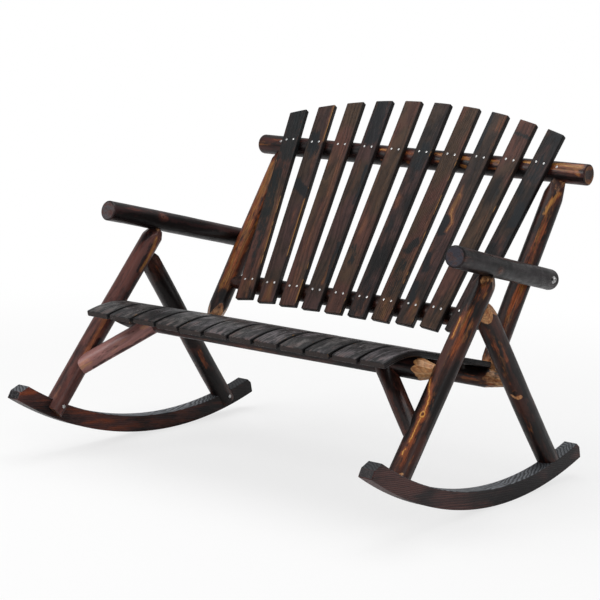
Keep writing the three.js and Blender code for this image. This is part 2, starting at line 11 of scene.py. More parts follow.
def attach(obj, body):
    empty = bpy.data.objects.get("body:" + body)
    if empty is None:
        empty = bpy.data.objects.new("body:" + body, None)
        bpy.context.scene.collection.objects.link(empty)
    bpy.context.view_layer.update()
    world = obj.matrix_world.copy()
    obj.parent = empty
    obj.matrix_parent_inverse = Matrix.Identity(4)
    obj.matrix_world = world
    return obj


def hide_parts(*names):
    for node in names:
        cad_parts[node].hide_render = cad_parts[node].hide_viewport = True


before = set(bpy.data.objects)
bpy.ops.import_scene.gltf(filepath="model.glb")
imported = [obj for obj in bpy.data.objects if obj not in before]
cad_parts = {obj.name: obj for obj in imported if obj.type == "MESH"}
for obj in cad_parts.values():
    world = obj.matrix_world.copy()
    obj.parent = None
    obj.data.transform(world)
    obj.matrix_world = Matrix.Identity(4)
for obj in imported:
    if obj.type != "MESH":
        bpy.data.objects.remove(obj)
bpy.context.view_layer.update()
MM = 0.001

# How the bench stands
REST_TILT = math.radians(7)
SOLE_CENTRE = 1275  # height of the centre of the soles when the bench is level
SOLE_RADIUS = 1273.7
PIVOT_BACK = 104.2  # centre of the soles, from the middle of the part's box

# Rockers
ROCKER_LENGTH = 1017
ROCKER_THICKNESS = 40
ROCKER_DEPTH = 48.5
ROCKER_OUTER = 595
ROCKER_INNER = ROCKER_OUTER - ROCKER_THICKNESS
ROCKER_TOP_RADIUS = SOLE_CENTRE - ROCKER_DEPTH
ROCKER_EDGE = 2
FRONT_CHAMFER = (20, 24)  # along the top, down the end
REAR_CHAMFER = (12, 15)
ROCKER_PITH = (52, 45)  # middle of the tree, from the middle of the plank
ROCKER_GRAIN = {-1: 7000, 1: 21000}  # where along the tree each plank was sawn
TOP_MARK_DEPTH = 2
TOP_MARK_BLEND = 1.5
# Painted light on the left rocker's inner face fades in over this width from the plank's middle
LIT_WIDTH = 18

# How pale the tops and ends of the rockers are, a grey that is partly painted sheen and drops near
# the legs as painted shadow, and how dark their sides are with painted shade. The key is the side
# of the bench, and the places run from -1 at the front end to 1 at the rear end.
SHEEN_PLACE_SHARES = (-0.97, -0.94, -0.4, 0.5, 0.75, 0.8, 1)
SHEEN_SHARES = {-1: (0.45, 0.2, 1, 1, 0.2, 0.1, 0.1), 1: (0.1, 0.1, 1, 1, 0.1, 0.6, 0.6)}
SHADE_PLACE_SHARES = (-1, -0.75, -0.4, 0, 0.5, 0.78, 0.86, 1)
PAINTED_SHADE_SHARES = {-1: (0.1, 1.3, 0.1, 1, 1.1, 1.1, 1.7, 1.8), 1: (0, 0, 0, 0.6, 1, 0.6, 0.5, 0.4)}
HIDDEN_SHADE_SHARE = 0.5  # on the faces that the front view hides

# Logs
VIEWER_SIDE = (0.59, -0.8, 0.06)  # angles round a log are counted from here
WIDEST = 598  # no log reaches further out
LEG_RADIUS = 29
FRONT_LEG = ((ROCKER_INNER + 8, -364.1, 69.8), (ROCKER_INNER - 1.5, -28, 590))
REAR_LEG = ((ROCKER_INNER + 15, 393.2, 82.1), (ROCKER_INNER + 1.5, -47, 506))
LEG_IN_ROCKER = 592  # the buried half of a leg's foot ends here
ARM_RADIUS = 28
ARM_FRONT = (ROCKER_INNER + 14, -222, 629.5)
ARM_REAR_HEIGHT = 587
ARM_OVERHANG = 62
ARM_BOLT_SETBACK = 16
ARM_DOME = 18
ARM_SADDLE = 0.5
POST_RADIUS = 28
POST_PLANE = ROCKER_INNER - 83
POST_SETBACK = 8
POST_SINK = 6
TOP_RAIL = (427, 873)
TOP_RAIL_RADIUS = 29
TOP_RAIL_HALF = POST_PLANE + 87
LOWER_RAIL_RADIUS = 26
LOWER_RAIL_RISE = 140
FRONT_RAIL_RADIUS = 28
FRONT_RAIL_HEIGHT = 343
REAR_RAIL_RADIUS = 26.5
REAR_RAIL_HEIGHT = 315
BRACE_RADIUS = 25
BRACE_FOOT = 188
BRACE_REACH = 186
BRACE_BURIED_SHARE = 0.3  # of a log's radius, from its axis to the hidden end of a brace

# Ends of the logs
SHOULDER_RADIUS = 16
SHOULDER_SINK = 3
TENON_RADIUS = 13
TENON_LENGTH = 20
TENON_EDGE = 1
TENON_CORE_SHARE = 0.8  # of the log's radius, in to the innermost ring of a tenon's end
PINNED_TENON_BEYOND = 6
SAWN_EDGE = 4
ROUND_EDGE = 11
PLAIN_EDGE = 1.5
FLAT_RING_SHARES = (0.985, 0.75, 0.5, 0.25)

# Axe cuts
HEWN_LENGTH = 60
FRONT_HEWN_LENGTH = 52
SHORT_HEWN_LENGTH = 45
LEG_CUTS = 5
RAIL_CUTS = 10
CUT_TURN_SHARE = 0.22  # how far a cut may be turned from its even place round the log
CUT_RUN_SHARES = (0.8, 1.15)
CUT_TIP_SHARES = (0.94, 1.02)
CUT_CURVE = 0.9  # the power by which a cut rises from its tip
CUT_LEAST_COSINE = 0.25
CUT_BLEND = 1.5
CHIP_DEPTH = 0.3
CHIP_SIZE = 16
CHIP_STRETCH = (1, 1, 3)
RIDGE_HALF = 0.9

# Natural form and grain of the logs
SWELL_SHARE = 0.018
RAIL_SWELL_SHARE = 0.01
SWELL_SIZE = 95
FINE_SWELL_SIZE = 30
FINE_SWELL_SHARE = 1 / 3
DRAWN_OUT_SHARE = 0.25  # swells are four times as long as they are wide
CROOK = 1.2
RAIL_CROOK = 0.6
TOP_RAIL_CROOK = 0.5
DOUBLE_BEND_SHARE = 0.5
LOG_PITH = 4  # how far the middle of the tree may lie from the middle of the log
LOG_GRAIN = 1700  # each log's grain starts this much further along the tree
RIM_SHARES = (0.7, 0.95)  # of the radius, where the pale rim of a sawn end begins and is full
KNOT_RISE = 1.6
KNOT_SIZE = 8

# Boards
SEAT_SLATS = 12
SEAT_SLAT_WIDTH = 79.4
SEAT_SLAT_GAP = 2.4
BOARD_THICKNESS = 16
BOARD_EDGE = 2.4  # radius of the worn edges
SEAT_EDGE = 3.4
SEAT_SLAT_SHY = (4, 6.5)  # how much narrower the worn boards are than they were sawn
NOSE_SHY = 4
NOSE_UNEVEN = 1.5
NOSE_REACH = 157
NOSE_LENGTH = 145
NOSE_DROP = 43
NOSE_BEND = 1.8  # the power by which the nose bends down
NOSE_MARK = 40  # how far back from its tip a nose is scuffed
BACK_SLATS = 10
BACK_SLAT_WIDTH = 57
LOWER_PITCH = 81.1
UPPER_PITCH = 95
ARCH_RISE = 163
ARCH_RADIUS = 1556
SLAT_FOOT = 62
FIT_GAP = 0.3
WARP = 0.4
BACK_WARP_SIZE = 240
SEAT_WARP_SIZE = 260
PITH_ACROSS = 45  # how far the middle of the tree may lie to either side of a board
PITH_NEAREST = 35
BACK_PITH_FURTHEST = 80
SEAT_PITH_FURTHEST = 90
TREE_LENGTH = 40000  # each board's grain starts somewhere along a tree of this length

# Fasteners
BOLT_SHANK = 4
BOLT_BITE = 30
LAP_BOLT_RISE = 22
SPOT_FACE = 2
WASHER_THICKNESS = 2
WASHER_BORE = 4.3
WASHER_RADIUS = 10
WASHER_EDGE = 0.3
SCREW_SHANK = 2.5
SCREW_HEAD = (4.5, 2.5)  # radius and height
TOP_RAIL_SCREW_LENGTH = 40
BRACE_FOOT_SCREW_LENGTH = 60
BRACE_HEAD_SCREW_LENGTH = 50
BRACE_FOOT_SCREW_INSET = 18
BRACE_HEAD_SCREW_INSET = 14
HEAD_SINK = 7
SLAT_SCREW_HEAD = (3.3, 1.4)
SLAT_SCREW_LENGTH = 34
SLAT_SCREW_SINK = 0.2
SLAT_SCREW_HALF_SPACING = 12.5
CROSS_CORE_SHARE = 0.34  # how far out a cross recess reaches between its arms
CROSS_SHARPNESS = 5

# Figure of the wood
STREAK_STEP = 3
FAR = 1000.0
NO_KNOT = (-FAR, 0)

# How finely the surfaces are cut, with the lines across, up and round the corners of a section
LOG_SIDES = 72
LOG_STEP = 5
LOG_EDGE_STEPS = 4
DOME_STEPS = 10
HEWN_STEP = 2
HEWN_REACH_SHARE = 1.2
BOARD_STEP = 8
BOARD_EDGE_STEPS = 3
BACK_SLAT_STEPS = 90
BACK_SLAT_LINES = (12, 3, 4)
SEAT_SLAT_LINES = (14, 2, 5)
ROCKER_STEP = 8
ROCKER_LINES = (10, 12, 3)
TURNED_SIDES = 24
TURNED_FACING = (0.3, 0.2, 1)  # no fastener points this way
SHARP_ANGLE = math.radians(32)
TURNED_SHARP_ANGLE = math.radians(28)
LEAST_HALF_SHARE = 0.02

# Where the random draws start. A log's number is one more on the right, and it also says where
# along the tree the log's grain starts.
BACK_WARP_SEED = 40
SEAT_WARP_SEED = 80
BACK_SLAT_SEED = 300
SEAT_SLAT_SEED = 600
LOG_NUMBERS = {"front_leg": 11, "rear_leg": 21, "armrest": 31, "back_post": 41, "brace": 51,
               "front_seat_rail": 61, "rear_seat_rail": 62, "top_rail": 63, "lower_back_rail": 64}


# Places and directions

def place(x, y, z):
    return np.array([x, y, z], float)


X_AXIS = place(1, 0, 0)


def to_world(points):
    """Leans level millimetres back by the rest tilt and turns them into metres."""
    points = np.asarray(points, float)
    y = points[..., 1]
    z = points[..., 2] - SOLE_CENTRE
    cosine, sine = math.cos(REST_TILT), math.sin(REST_TILT)
    back = y * cosine + z * sine + PIVOT_BACK
    up = z * cosine - y * sine + SOLE_RADIUS
    return np.stack([points[..., 0], back, up], -1) * MM


def unit(vector):
    return vector / np.linalg.norm(vector)


def mirrored(point, side):
    return place(side * point[0], point[1], point[2])


def at_height(low, high, z):
    return low + (high - low) * (z - low[2]) / (high[2] - low[2])


def waves(points, size, seed, count=9):
    """Smooth noise of about -1 to 1 with features of a size, from sines in random directions."""
    rng = np.random.default_rng(seed)
    directions = rng.normal(size=(count, 3))
    directions /= np.linalg.norm(directions, axis=1)[:, None]
    directions *= rng.uniform(0.6, 1.5, (count, 1))
    phases = rng.uniform(0, 2 * math.pi, count)
    return np.sin(points @ directions.T * (2 * math.pi / size) + phases).mean(-1) * 2


# Skins

def make_piece(name, rings, marks, look, node=None, sharp=SHARP_ANGLE):
    """Closes a stack of rings into one skin and stores what its material reads at each point."""
    count, sides = rings.shape[:2]
    points = np.concatenate([rings.reshape(-1, 3), [rings[0].mean(0), rings[-1].mean(0)]])
    first, last = count * sides, count * sides + 1
    index = np.arange(count * sides).reshape(count, sides)
    ahead = np.roll(index, -1, axis=1)
    quads = np.stack([index[:-1], ahead[:-1], ahead[1:], index[1:]], -1).reshape(-1, 4).tolist()
    start_fan = [[first, b, a] for a, b in zip(index[0].tolist(), ahead[0].tolist())]
    end_fan = [[last, a, b] for a, b in zip(index[-1].tolist(), ahead[-1].tolist())]
    mesh = bpy.data.meshes.new(name)
    mesh.from_pydata(to_world(points).tolist(), [], quads + start_fan + end_fan)
    for key, values in marks.items():
        values = np.asarray(values, float)
        kind, field = ("FLOAT_VECTOR", "vector") if values.ndim > 2 else ("FLOAT", "value")
        values = np.broadcast_to(values, (count, sides) + values.shape[2:])
        middles = [values[end].mean(0)[None] for end in (0, -1)]
        values = np.concatenate([values.reshape(count * sides, *values.shape[2:])] + middles)
        attribute = mesh.attributes.new(key, kind, "POINT")
        attribute.data.foreach_set(field, values.astype(np.float32).ravel())
    mesh.polygons.foreach_set("use_smooth", [True] * len(mesh.polygons))
    mesh.set_sharp_from_angle(angle=sharp)
    mesh.materials.append(look)
    piece = bpy.data.objects.new(name if node is None else f"{name}_skin", mesh)
    bpy.context.scene.collection.objects.link(piece)
    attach(piece, "root")
    if node:
        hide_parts(node)
    return piece


def quarter_round(steps, back, inward):
    """Rings round a quarter of an ellipse: how far before the end, how far in, and not flat."""
    turns = [math.pi / 2 * step / steps for step in range(steps + 1)]
    return [(back * (1 - math.sin(turn)), inward * (1 - math.cos(turn)), 0) for turn in turns]


def rounded_end(radius, edge, steps):
    """Rings over a rounded edge, then rings in to the middle of the flat end."""
    flat = radius - edge
    flat_rings = [(0, radius - flat * share, 1) for share in FLAT_RING_SHARES]
    return quarter_round(steps, edge, edge) + flat_rings


# Logs

def log_end(kind, radius, tenon):
    """Rings of a log's end: how far before the end, how far in from the skin, and 1 on a flat."""
    if kind == "hewn":
        neck = radius - TENON_RADIUS
        core = radius * TENON_CORE_SHARE
        return [(0, math.nan, 0), (0, neck, 1), (TENON_EDGE - tenon, neck, 1),
                (-tenon, neck + TENON_EDGE, 1), (-tenon, core, 1)]
    if kind == "domed":
        return quarter_round(DOME_STEPS, ARM_DOME, radius)[:-1]
    edge = {"sawn": SAWN_EDGE, "round": ROUND_EDGE, "plain": PLAIN_EDGE}[kind]
    return rounded_end(radius, edge, LOG_EDGE_STEPS)


def hewn_limit(distance, angles, length, radius, count, rng):
    """How far out the skin may lie where axe cuts, each a flat, take a log down to its tenon.

    Also how far the next cut lies outside the deepest one, which is nothing on a ridge.
    """
    depths = []
    least = CUT_LEAST_COSINE
    for cut in range(count):
        facing = 2 * math.pi * (cut + rng.uniform(-CUT_TURN_SHARE, CUT_TURN_SHARE)) / count
        run = length * rng.uniform(*CUT_RUN_SHARES)
        tip = SHOULDER_RADIUS * rng.uniform(*CUT_TIP_SHARES)
        depth = tip + (radius - tip) * (np.maximum(distance, 0) / run) ** CUT_CURVE
        cosine = np.cos(angles - facing)
        reach = np.where(cosine > least, 1 / np.maximum(cosine, least), FAR)
        depths.append(depth[:, None] * reach[None, :])
    first, second = np.sort(depths, axis=0)[:2]
    return first, second - first


def axe_cuts(kinds, places, length, angles, hewn, radius, count, rng):
    """The limit that the cuts of both ends set to a log's skin, and how far off a ridge it lies."""
    limit = np.full((len(places), len(angles)), FAR)
    off_ridge = limit.copy()
    for kind, distance in zip(kinds, (places, length - places)):
        if kind == "hewn":
            depth, gap = hewn_limit(distance, angles, hewn, radius, count, rng)
            off_ridge = np.where(depth < limit, gap, off_ridge)
            limit = np.minimum(limit, depth)
    return limit, off_ridge


def sideways_off(across, middle, girth):
    """The distance across a skin from a middle, the shorter way round where the skin closes."""
    off = across - middle
    return off if girth is None else (off + girth / 2) % girth - girth / 2


def dotted(line):
    """Places along a bent line, close enough together for a soft streak to look even."""
    ways = np.array(line, float)
    reached = np.concatenate([[0], np.cumsum(np.hypot(*np.diff(ways, axis=0).T))])
    spots = np.linspace(0, reached[-1], 1 + int(reached[-1] / STREAK_STEP))
    return zip(*(np.interp(spots, reached, way) for way in ways.T))


def streak_share(along, across, streaks, girth=None):
    """How far a place lies inside soft streaks: bent lines with a half width and a strength."""
    share = np.zeros(along.shape)
    for line, half, strength in streaks:
        for spot_along, spot_across in dotted(line):
            off = sideways_off(across, spot_across, girth)
            far = ((along - spot_along) ** 2 + off ** 2) / half ** 2
            share = np.maximum(share, strength * np.exp(-far))
    return share


def vein_marks(along, across, veins, girth=None):
    """How far a place lies beside the vein that passes it, and how far beyond that vein's ends."""
    beside, beyond = np.full(along.shape, FAR), np.full(along.shape, FAR)
    for line in veins:
        places, offs = np.array(sorted(line), float).T
        past = np.maximum(places[0] - along, along - places[-1]).clip(0)
        off = sideways_off(across, np.interp(along, places, offs), girth)
        closer = past < beyond
        beside, beyond = np.where(closer, off, beside), np.where(closer, past, beyond)
    return {"vein": beside * MM, "vein_end": beyond * MM}


def log_rings(length, radius, kinds, tenons, hewn):
    """Each ring's place along a log, its inset, which is nan on the skin, and 1 on a flat end."""
    low = log_end(kinds[0], radius, tenons[0])[::-1]
    high = log_end(kinds[1], radius, tenons[1])
    between = []
    at = low[-1][0]
    while at < length - high[0][0]:
        between.append((at, math.nan, 0))
        on_cuts = min(at, length - at) < HEWN_REACH_SHARE * hewn
        at += HEWN_STEP if on_cuts else LOG_STEP
    high = [(length - back, inset, flat) for back, inset, flat in high]
    places, insets, flats = np.array(low + between[1:] + high, float).T
    return places, insets[:, None], flats[:, None]


def bent_axis(start, axis, sideways, places, share, crook):
    """The middle of each ring of a slightly crooked log."""
    bend = np.sin(math.pi * share) + DOUBLE_BEND_SHARE * np.sin(2 * math.pi * share)
    return start + places[:, None] * axis + (crook * bend)[:, None] * sideways


def make_log(node, start, end, radius, kinds, look, slot, seed, tone, bare, figure, hewn=0,
             cuts=LEG_CUTS, tenons=(0, 0), crook=CROOK, swell=SWELL_SHARE, keep_in=None):
    """A slightly crooked log. Bare is how pale the axe cuts are at its start and end."""
    axis = unit(end - start)
    length = np.linalg.norm(end - start)
    facing = place(*VIEWER_SIDE)
    x_axis = unit(facing - axis * (facing @ axis))
    y_axis = np.cross(axis, x_axis)
    rng = np.random.default_rng(seed)
    places, insets, flat = log_rings(length, radius, kinds, tenons, hewn)
    angles = np.arange(LOG_SIDES) * 2 * math.pi / LOG_SIDES
    along, turns = np.meshgrid(places, angles, indexing="ij")
    cosine, sine = np.cos(turns), np.sin(turns)
    across = radius * turns
    girth = 2 * math.pi * radius
    knot, veins, glows, chars, bares = figure_lines(figure, math.radians(radius))

    # The uncut skin, swollen and with its knot
    skin = np.stack([radius * cosine, radius * sine, DRAWN_OUT_SHARE * along], -1)
    swelling = waves(skin, SWELL_SIZE, seed)
    swelling += FINE_SWELL_SHARE * waves(skin, FINE_SWELL_SIZE, seed + 1)
    off_knot = np.hypot(along - knot[0], sideways_off(across, knot[1], girth))
    uncut = radius * (1 + swell * swelling) + KNOT_RISE * np.exp(-((off_knot / KNOT_SIZE) ** 2))

    # The skin after the axe, then the rings whose size is given
    limit, off_ridge = axe_cuts(kinds, places, length, angles, hewn, radius, cuts, rng)
    cut = np.clip((uncut - limit) / CUT_BLEND, 0, 1)
    chips = CHIP_DEPTH * waves(skin * place(*CHIP_STRETCH), CHIP_SIZE, seed + 2)
    reach = np.minimum(uncut, limit) + cut * chips
    given = radius - np.nan_to_num(insets)
    on_end = np.where(flat > 0, given, reach * given / radius)
    reach = np.where(np.isnan(insets), reach, on_end)

    share = np.clip(places / length, 0, 1)
    way = rng.uniform(0, 2 * math.pi)
    sideways = math.cos(way) * x_axis + math.sin(way) * y_axis
    x, y = reach * cosine, reach * sine
    points = bent_axis(start, axis, sideways, places, share, crook)[:, None]
    points = points + x[..., None] * x_axis + y[..., None] * y_axis
    if keep_in:
        points = keep_in(points)

    pith = rng.uniform(-LOG_PITH, LOG_PITH, 2)
    wood = np.stack([x + pith[0], y + pith[1], along + LOG_GRAIN * seed], -1)
    knot_turn = knot[1] / radius
    knot_x, knot_y = radius * math.cos(knot_turn), radius * math.sin(knot_turn)
    paleness = np.where(share < 0.5, *bare)[:, None]
    marks = {
        "wood": wood * MM,
        "bare": np.maximum(cut * paleness, streak_share(along, across, bares, girth)) * (1 - flat),
        "ridge": np.exp(-((off_ridge / RIDGE_HALF) ** 2)) * cut * (1 - flat),
        "cap": flat,
        "rim": flat * np.interp(given / radius, RIM_SHARES, (0, 1)),
        "knot": np.stack([x - knot_x, y - knot_y, along - knot[0]], -1) * MM,
        "glow": streak_share(along, across, glows, girth),
        "char": streak_share(along, across, chars, girth),
        "tone": tone,
        **vein_marks(along, across, veins, girth),
    }
    return make_piece(node, points, marks, look, node)


def figure_lines(figure, unit_across):
    """A piece's knot, veins and glowing, charred and bare streaks, with across in millimetres."""
    figure = figure or {}

    def scaled(line):
        return [(along, across * unit_across) for along, across in line]
    knot = scaled([figure.get("knot", NO_KNOT)])[0]
    veins = [scaled(line) for line in figure.get("veins", ())]
    streaks = [[(scaled(line), half, strength) for line, half, strength in figure.get(key, ())]
               for key in ("glows", "chars", "bares")]
    return [knot, veins] + streaks


def inside_rocker(points):
    """Keeps the buried half of a leg's foot in its rocker, and the leg inside the part's box."""
    radius = np.hypot(points[..., 1], points[..., 2] - SOLE_CENTRE)
    most = np.where(radius > ROCKER_TOP_RADIUS, LEG_IN_ROCKER, WIDEST)
    points = points.copy()
    points[..., 0] = np.clip(points[..., 0], -most, most)
    return points


# Boards

def worn_rectangle(width, height, edge, across, up, corner):
    """A closed outline of a rectangle about the origin with rounded corners."""
    half_x, half_y = width / 2 - edge, height / 2 - edge
    arcs = []
    for number, (side_x, side_y) in enumerate([(1, -1), (1, 1), (-1, 1), (-1, -1)]):
        turns = np.radians(-90 + 90 * number + np.linspace(0, 90, corner + 1))
        x = side_x * half_x + edge * np.cos(turns)
        y = side_y * half_y + edge * np.sin(turns)
        arcs.append(np.stack([x, y], -1))
    outline = []
    for number, arc in enumerate(arcs):
        following = arcs[(number + 1) % 4]
        steps = (up, across)[number % 2]
        outline += [arc, np.linspace(arc[-1], following[0], steps + 1)[1:-1]]
    return np.concatenate(outline)


def shrunk(section, inset):
    """The section moved in by a distance on all sides, but never past its middle line."""
    half = np.abs(section).max(0)
    return section * np.maximum(half - inset, LEAST_HALF_SHARE * half) / half


def board_rings(steps):
    """Ring places along a board from 0 to 1, with its rounded ends given as set back and inset."""
    ends = rounded_end(BOARD_THICKNESS / 2, BOARD_EDGE, BOARD_EDGE_STEPS)
    low = [(0, back, inset, flat) for back, inset, flat in ends][::-1]
    high = [(1, -back, inset, flat) for back, inset, flat in ends]
    return low + [(step / steps, 0, 0, 0) for step in range(1, steps)] + high


def board_warp(local, size, seed):
    """How far a board's surface lies off its true faces, the same through its thickness."""
    return WARP * waves(local[:, [2, 0, 1]] * place(1, 1, 0), size, seed)


def finish_board(node, rings, local, flat, width, shift, tone, figure, nose, look):
    """Turns a board's rings outside out and gives its material what it reads."""
    rings, local, flat = (np.array(values)[:, ::-1] for values in (rings, local, flat))
    across, along = local[..., 0], local[..., 2]
    knot, veins, glows, chars, _ = figure_lines(figure, 1)
    marks = {
        "wood": (local + shift) * MM,
        "cap": flat,
        "edge": np.clip(np.abs(across) / (width / 2), 0, 1),
        "knot": (local - place(knot[1], BOARD_THICKNESS / 2, knot[0])) * MM,
        "glow": streak_share(along, across, glows),
        "char": streak_share(along, across, chars),
        "tone": tone,
        "nose": nose(along),
        **vein_marks(along, across, veins),
    }
    return make_piece(node, rings, marks, look, node)


# The flats that the slats lie on

front_foot, front_head = place(*FRONT_LEG[0]), place(*FRONT_LEG[1])
rear_foot, rear_head = place(*REAR_LEG[0]), place(*REAR_LEG[1])
front_rail_end = at_height(front_foot, front_head, FRONT_RAIL_HEIGHT)
rear_rail_end = at_height(rear_foot, rear_head, REAR_RAIL_HEIGHT)


def back_line_y(z):
    share = (z - REAR_RAIL_HEIGHT) / (TOP_RAIL[1] - REAR_RAIL_HEIGHT)
    return rear_rail_end[1] + share * (TOP_RAIL[0] - rear_rail_end[1])


LOWER_RAIL_HEIGHT = REAR_RAIL_HEIGHT + LOWER_RAIL_RISE
LOWER_RAIL = (back_line_y(LOWER_RAIL_HEIGHT), LOWER_RAIL_HEIGHT)


def bearing_line(first, first_radius, second, second_radius):
    """The flat that bears on two cross logs: its origin, its run, its normal and its spacing."""
    across = place(0, second[0] - first[0], second[1] - first[1])
    spacing = np.linalg.norm(across)
    along = across / spacing
    away = np.cross(X_AXIS, along)
    sine = (second_radius - first_radius) / spacing
    cosine = math.sqrt(1 - sine * sine)
    normal = away * cosine - along * sine
    run = along * cosine + away * sine
    origin = place(0, *first) + normal * (first_radius + FIT_GAP)
    return origin, run, normal, spacing * cosine


seat_line = bearing_line(front_rail_end[1:], FRONT_RAIL_RADIUS, rear_rail_end[1:], REAR_RAIL_RADIUS)
back_line = bearing_line(LOWER_RAIL, LOWER_RAIL_RADIUS, TOP_RAIL, TOP_RAIL_RADIUS)


def slat_fan(index):
    """The middle of a back slat at the lower rail and how far it leans out, as an angle."""
    rank = index - (BACK_SLATS - 1) / 2
    return rank * LOWER_PITCH, math.atan(rank * (UPPER_PITCH - LOWER_PITCH) / back_line[3])


def arch_reach(start, direction):
    """How far the arch over the back lies from each start along a direction in the back's plane."""
    centre = np.array([0, back_line[3] + ARCH_RISE - ARCH_RADIUS])
    away = start - centre
    forward = away @ direction
    return np.sqrt(forward ** 2 - (away ** 2).sum(-1) + ARCH_RADIUS ** 2) - forward


def board_pith(rng, furthest):
    """Where the middle of the tree lay from the middle of a board, and where along the tree."""
    return place(rng.uniform(-PITH_ACROSS, PITH_ACROSS),
                 rng.choice([-1, 1]) * rng.uniform(PITH_NEAREST, furthest),
                 rng.uniform(0, TREE_LENGTH))


def make_back_slat(index, look, tone, figure):
    origin, run, normal, _ = back_line
    middle, fan = slat_fan(index)
    direction = np.array([math.sin(fan), math.cos(fan)])
    sideways = np.array([math.cos(fan), -math.sin(fan)])
    section = worn_rectangle(BACK_SLAT_WIDTH, BOARD_THICKNESS, BOARD_EDGE, *BACK_SLAT_LINES)
    rings, in_board, flats = [], [], []
    for share, back, inset, flat in board_rings(BACK_SLAT_STEPS):
        outline = shrunk(section, inset)
        start = np.array([middle, 0]) + outline[:, :1] * sideways
        along = share * (arch_reach(start, direction) + SLAT_FOOT) + back - SLAT_FOOT
        spot = start + along[:, None] * direction
        local = np.column_stack([outline, along])
        warp = board_warp(local, BACK_WARP_SIZE, BACK_WARP_SEED + index)
        height = (outline[:, 1] + BOARD_THICKNESS / 2 + warp)[:, None]
        rings.append(origin + X_AXIS * spot[:, :1] + run * spot[:, 1:] + normal * height)
        in_board.append(local)
        flats.append(np.full(len(outline), float(flat)))
    shift = board_pith(np.random.default_rng(BACK_SLAT_SEED + index), BACK_PITH_FURTHEST)
    return finish_board(f"back_slat_{index + 1:02d}", rings, in_board, flats, BACK_SLAT_WIDTH,
                        shift, tone, figure, np.zeros_like, look)


def nose_profile(along):
    """How far a seat slat is bent down at a place back from the front rail, and its slope there."""
    bend = max(NOSE_LENGTH - NOSE_REACH - along, 0) / NOSE_LENGTH
    slope = NOSE_DROP * NOSE_BEND / NOSE_LENGTH * bend ** (NOSE_BEND - 1)
    return -NOSE_DROP * bend ** NOSE_BEND, slope


def nose_mark(along):
    return np.clip(1 - (along + NOSE_REACH) / NOSE_MARK, 0, 1)


def make_seat_slat(index, look, tone):
    origin, run, normal, spacing = seat_line
    middle = (index - (SEAT_SLATS - 1) / 2) * (SEAT_SLAT_WIDTH + SEAT_SLAT_GAP)
    rng = np.random.default_rng(SEAT_SLAT_SEED + index)
    width = SEAT_SLAT_WIDTH - rng.uniform(*SEAT_SLAT_SHY)
    section = worn_rectangle(width, BOARD_THICKNESS, SEAT_EDGE, *SEAT_SLAT_LINES)
    rings, in_board, flats = [], [], []
    shy = rng.uniform(0, NOSE_SHY)
    uneven = rng.uniform(0, NOSE_UNEVEN)
    total = spacing + NOSE_REACH - shy
    for share, back, inset, flat in board_rings(int(total / BOARD_STEP)):
        outline = shrunk(section, inset)
        at = share * total + back - NOSE_REACH + shy
        drop, slope = nose_profile(at)
        drop += uneven * min(max(-at / NOSE_REACH, 0), 1)
        upward = unit(normal - run * slope)
        core = origin + run * at + normal * drop + upward * BOARD_THICKNESS / 2
        local = np.column_stack([outline, np.full(len(outline), at)])
        warp = board_warp(local, SEAT_WARP_SIZE, SEAT_WARP_SEED + index)
        height = (outline[:, 1] + warp)[:, None]
        rings.append(core + X_AXIS * (middle + outline[:, :1]) + upward * height)
        in_board.append(local)
        flats.append(np.full(len(outline), float(flat)))
    shift = board_pith(rng, SEAT_PITH_FURTHEST)
    return finish_board(f"seat_slat_{index + 1:02d}", rings, in_board, flats, width, shift, tone,
                        None, nose_mark, look)


# Rockers

def rocker_top_radius(angle, half):
    """The radius of the rocker's top at an angle back from its lowest point, more at cut ends."""
    radius = ROCKER_TOP_RADIUS
    for sign, (along, down) in ((-1, FRONT_CHAMFER), (1, REAR_CHAMFER)):
        start = half - along / ROCKER_TOP_RADIUS
        radius = radius + down * np.clip((sign * angle - start) / (half - start), 0, 1)
    return radius


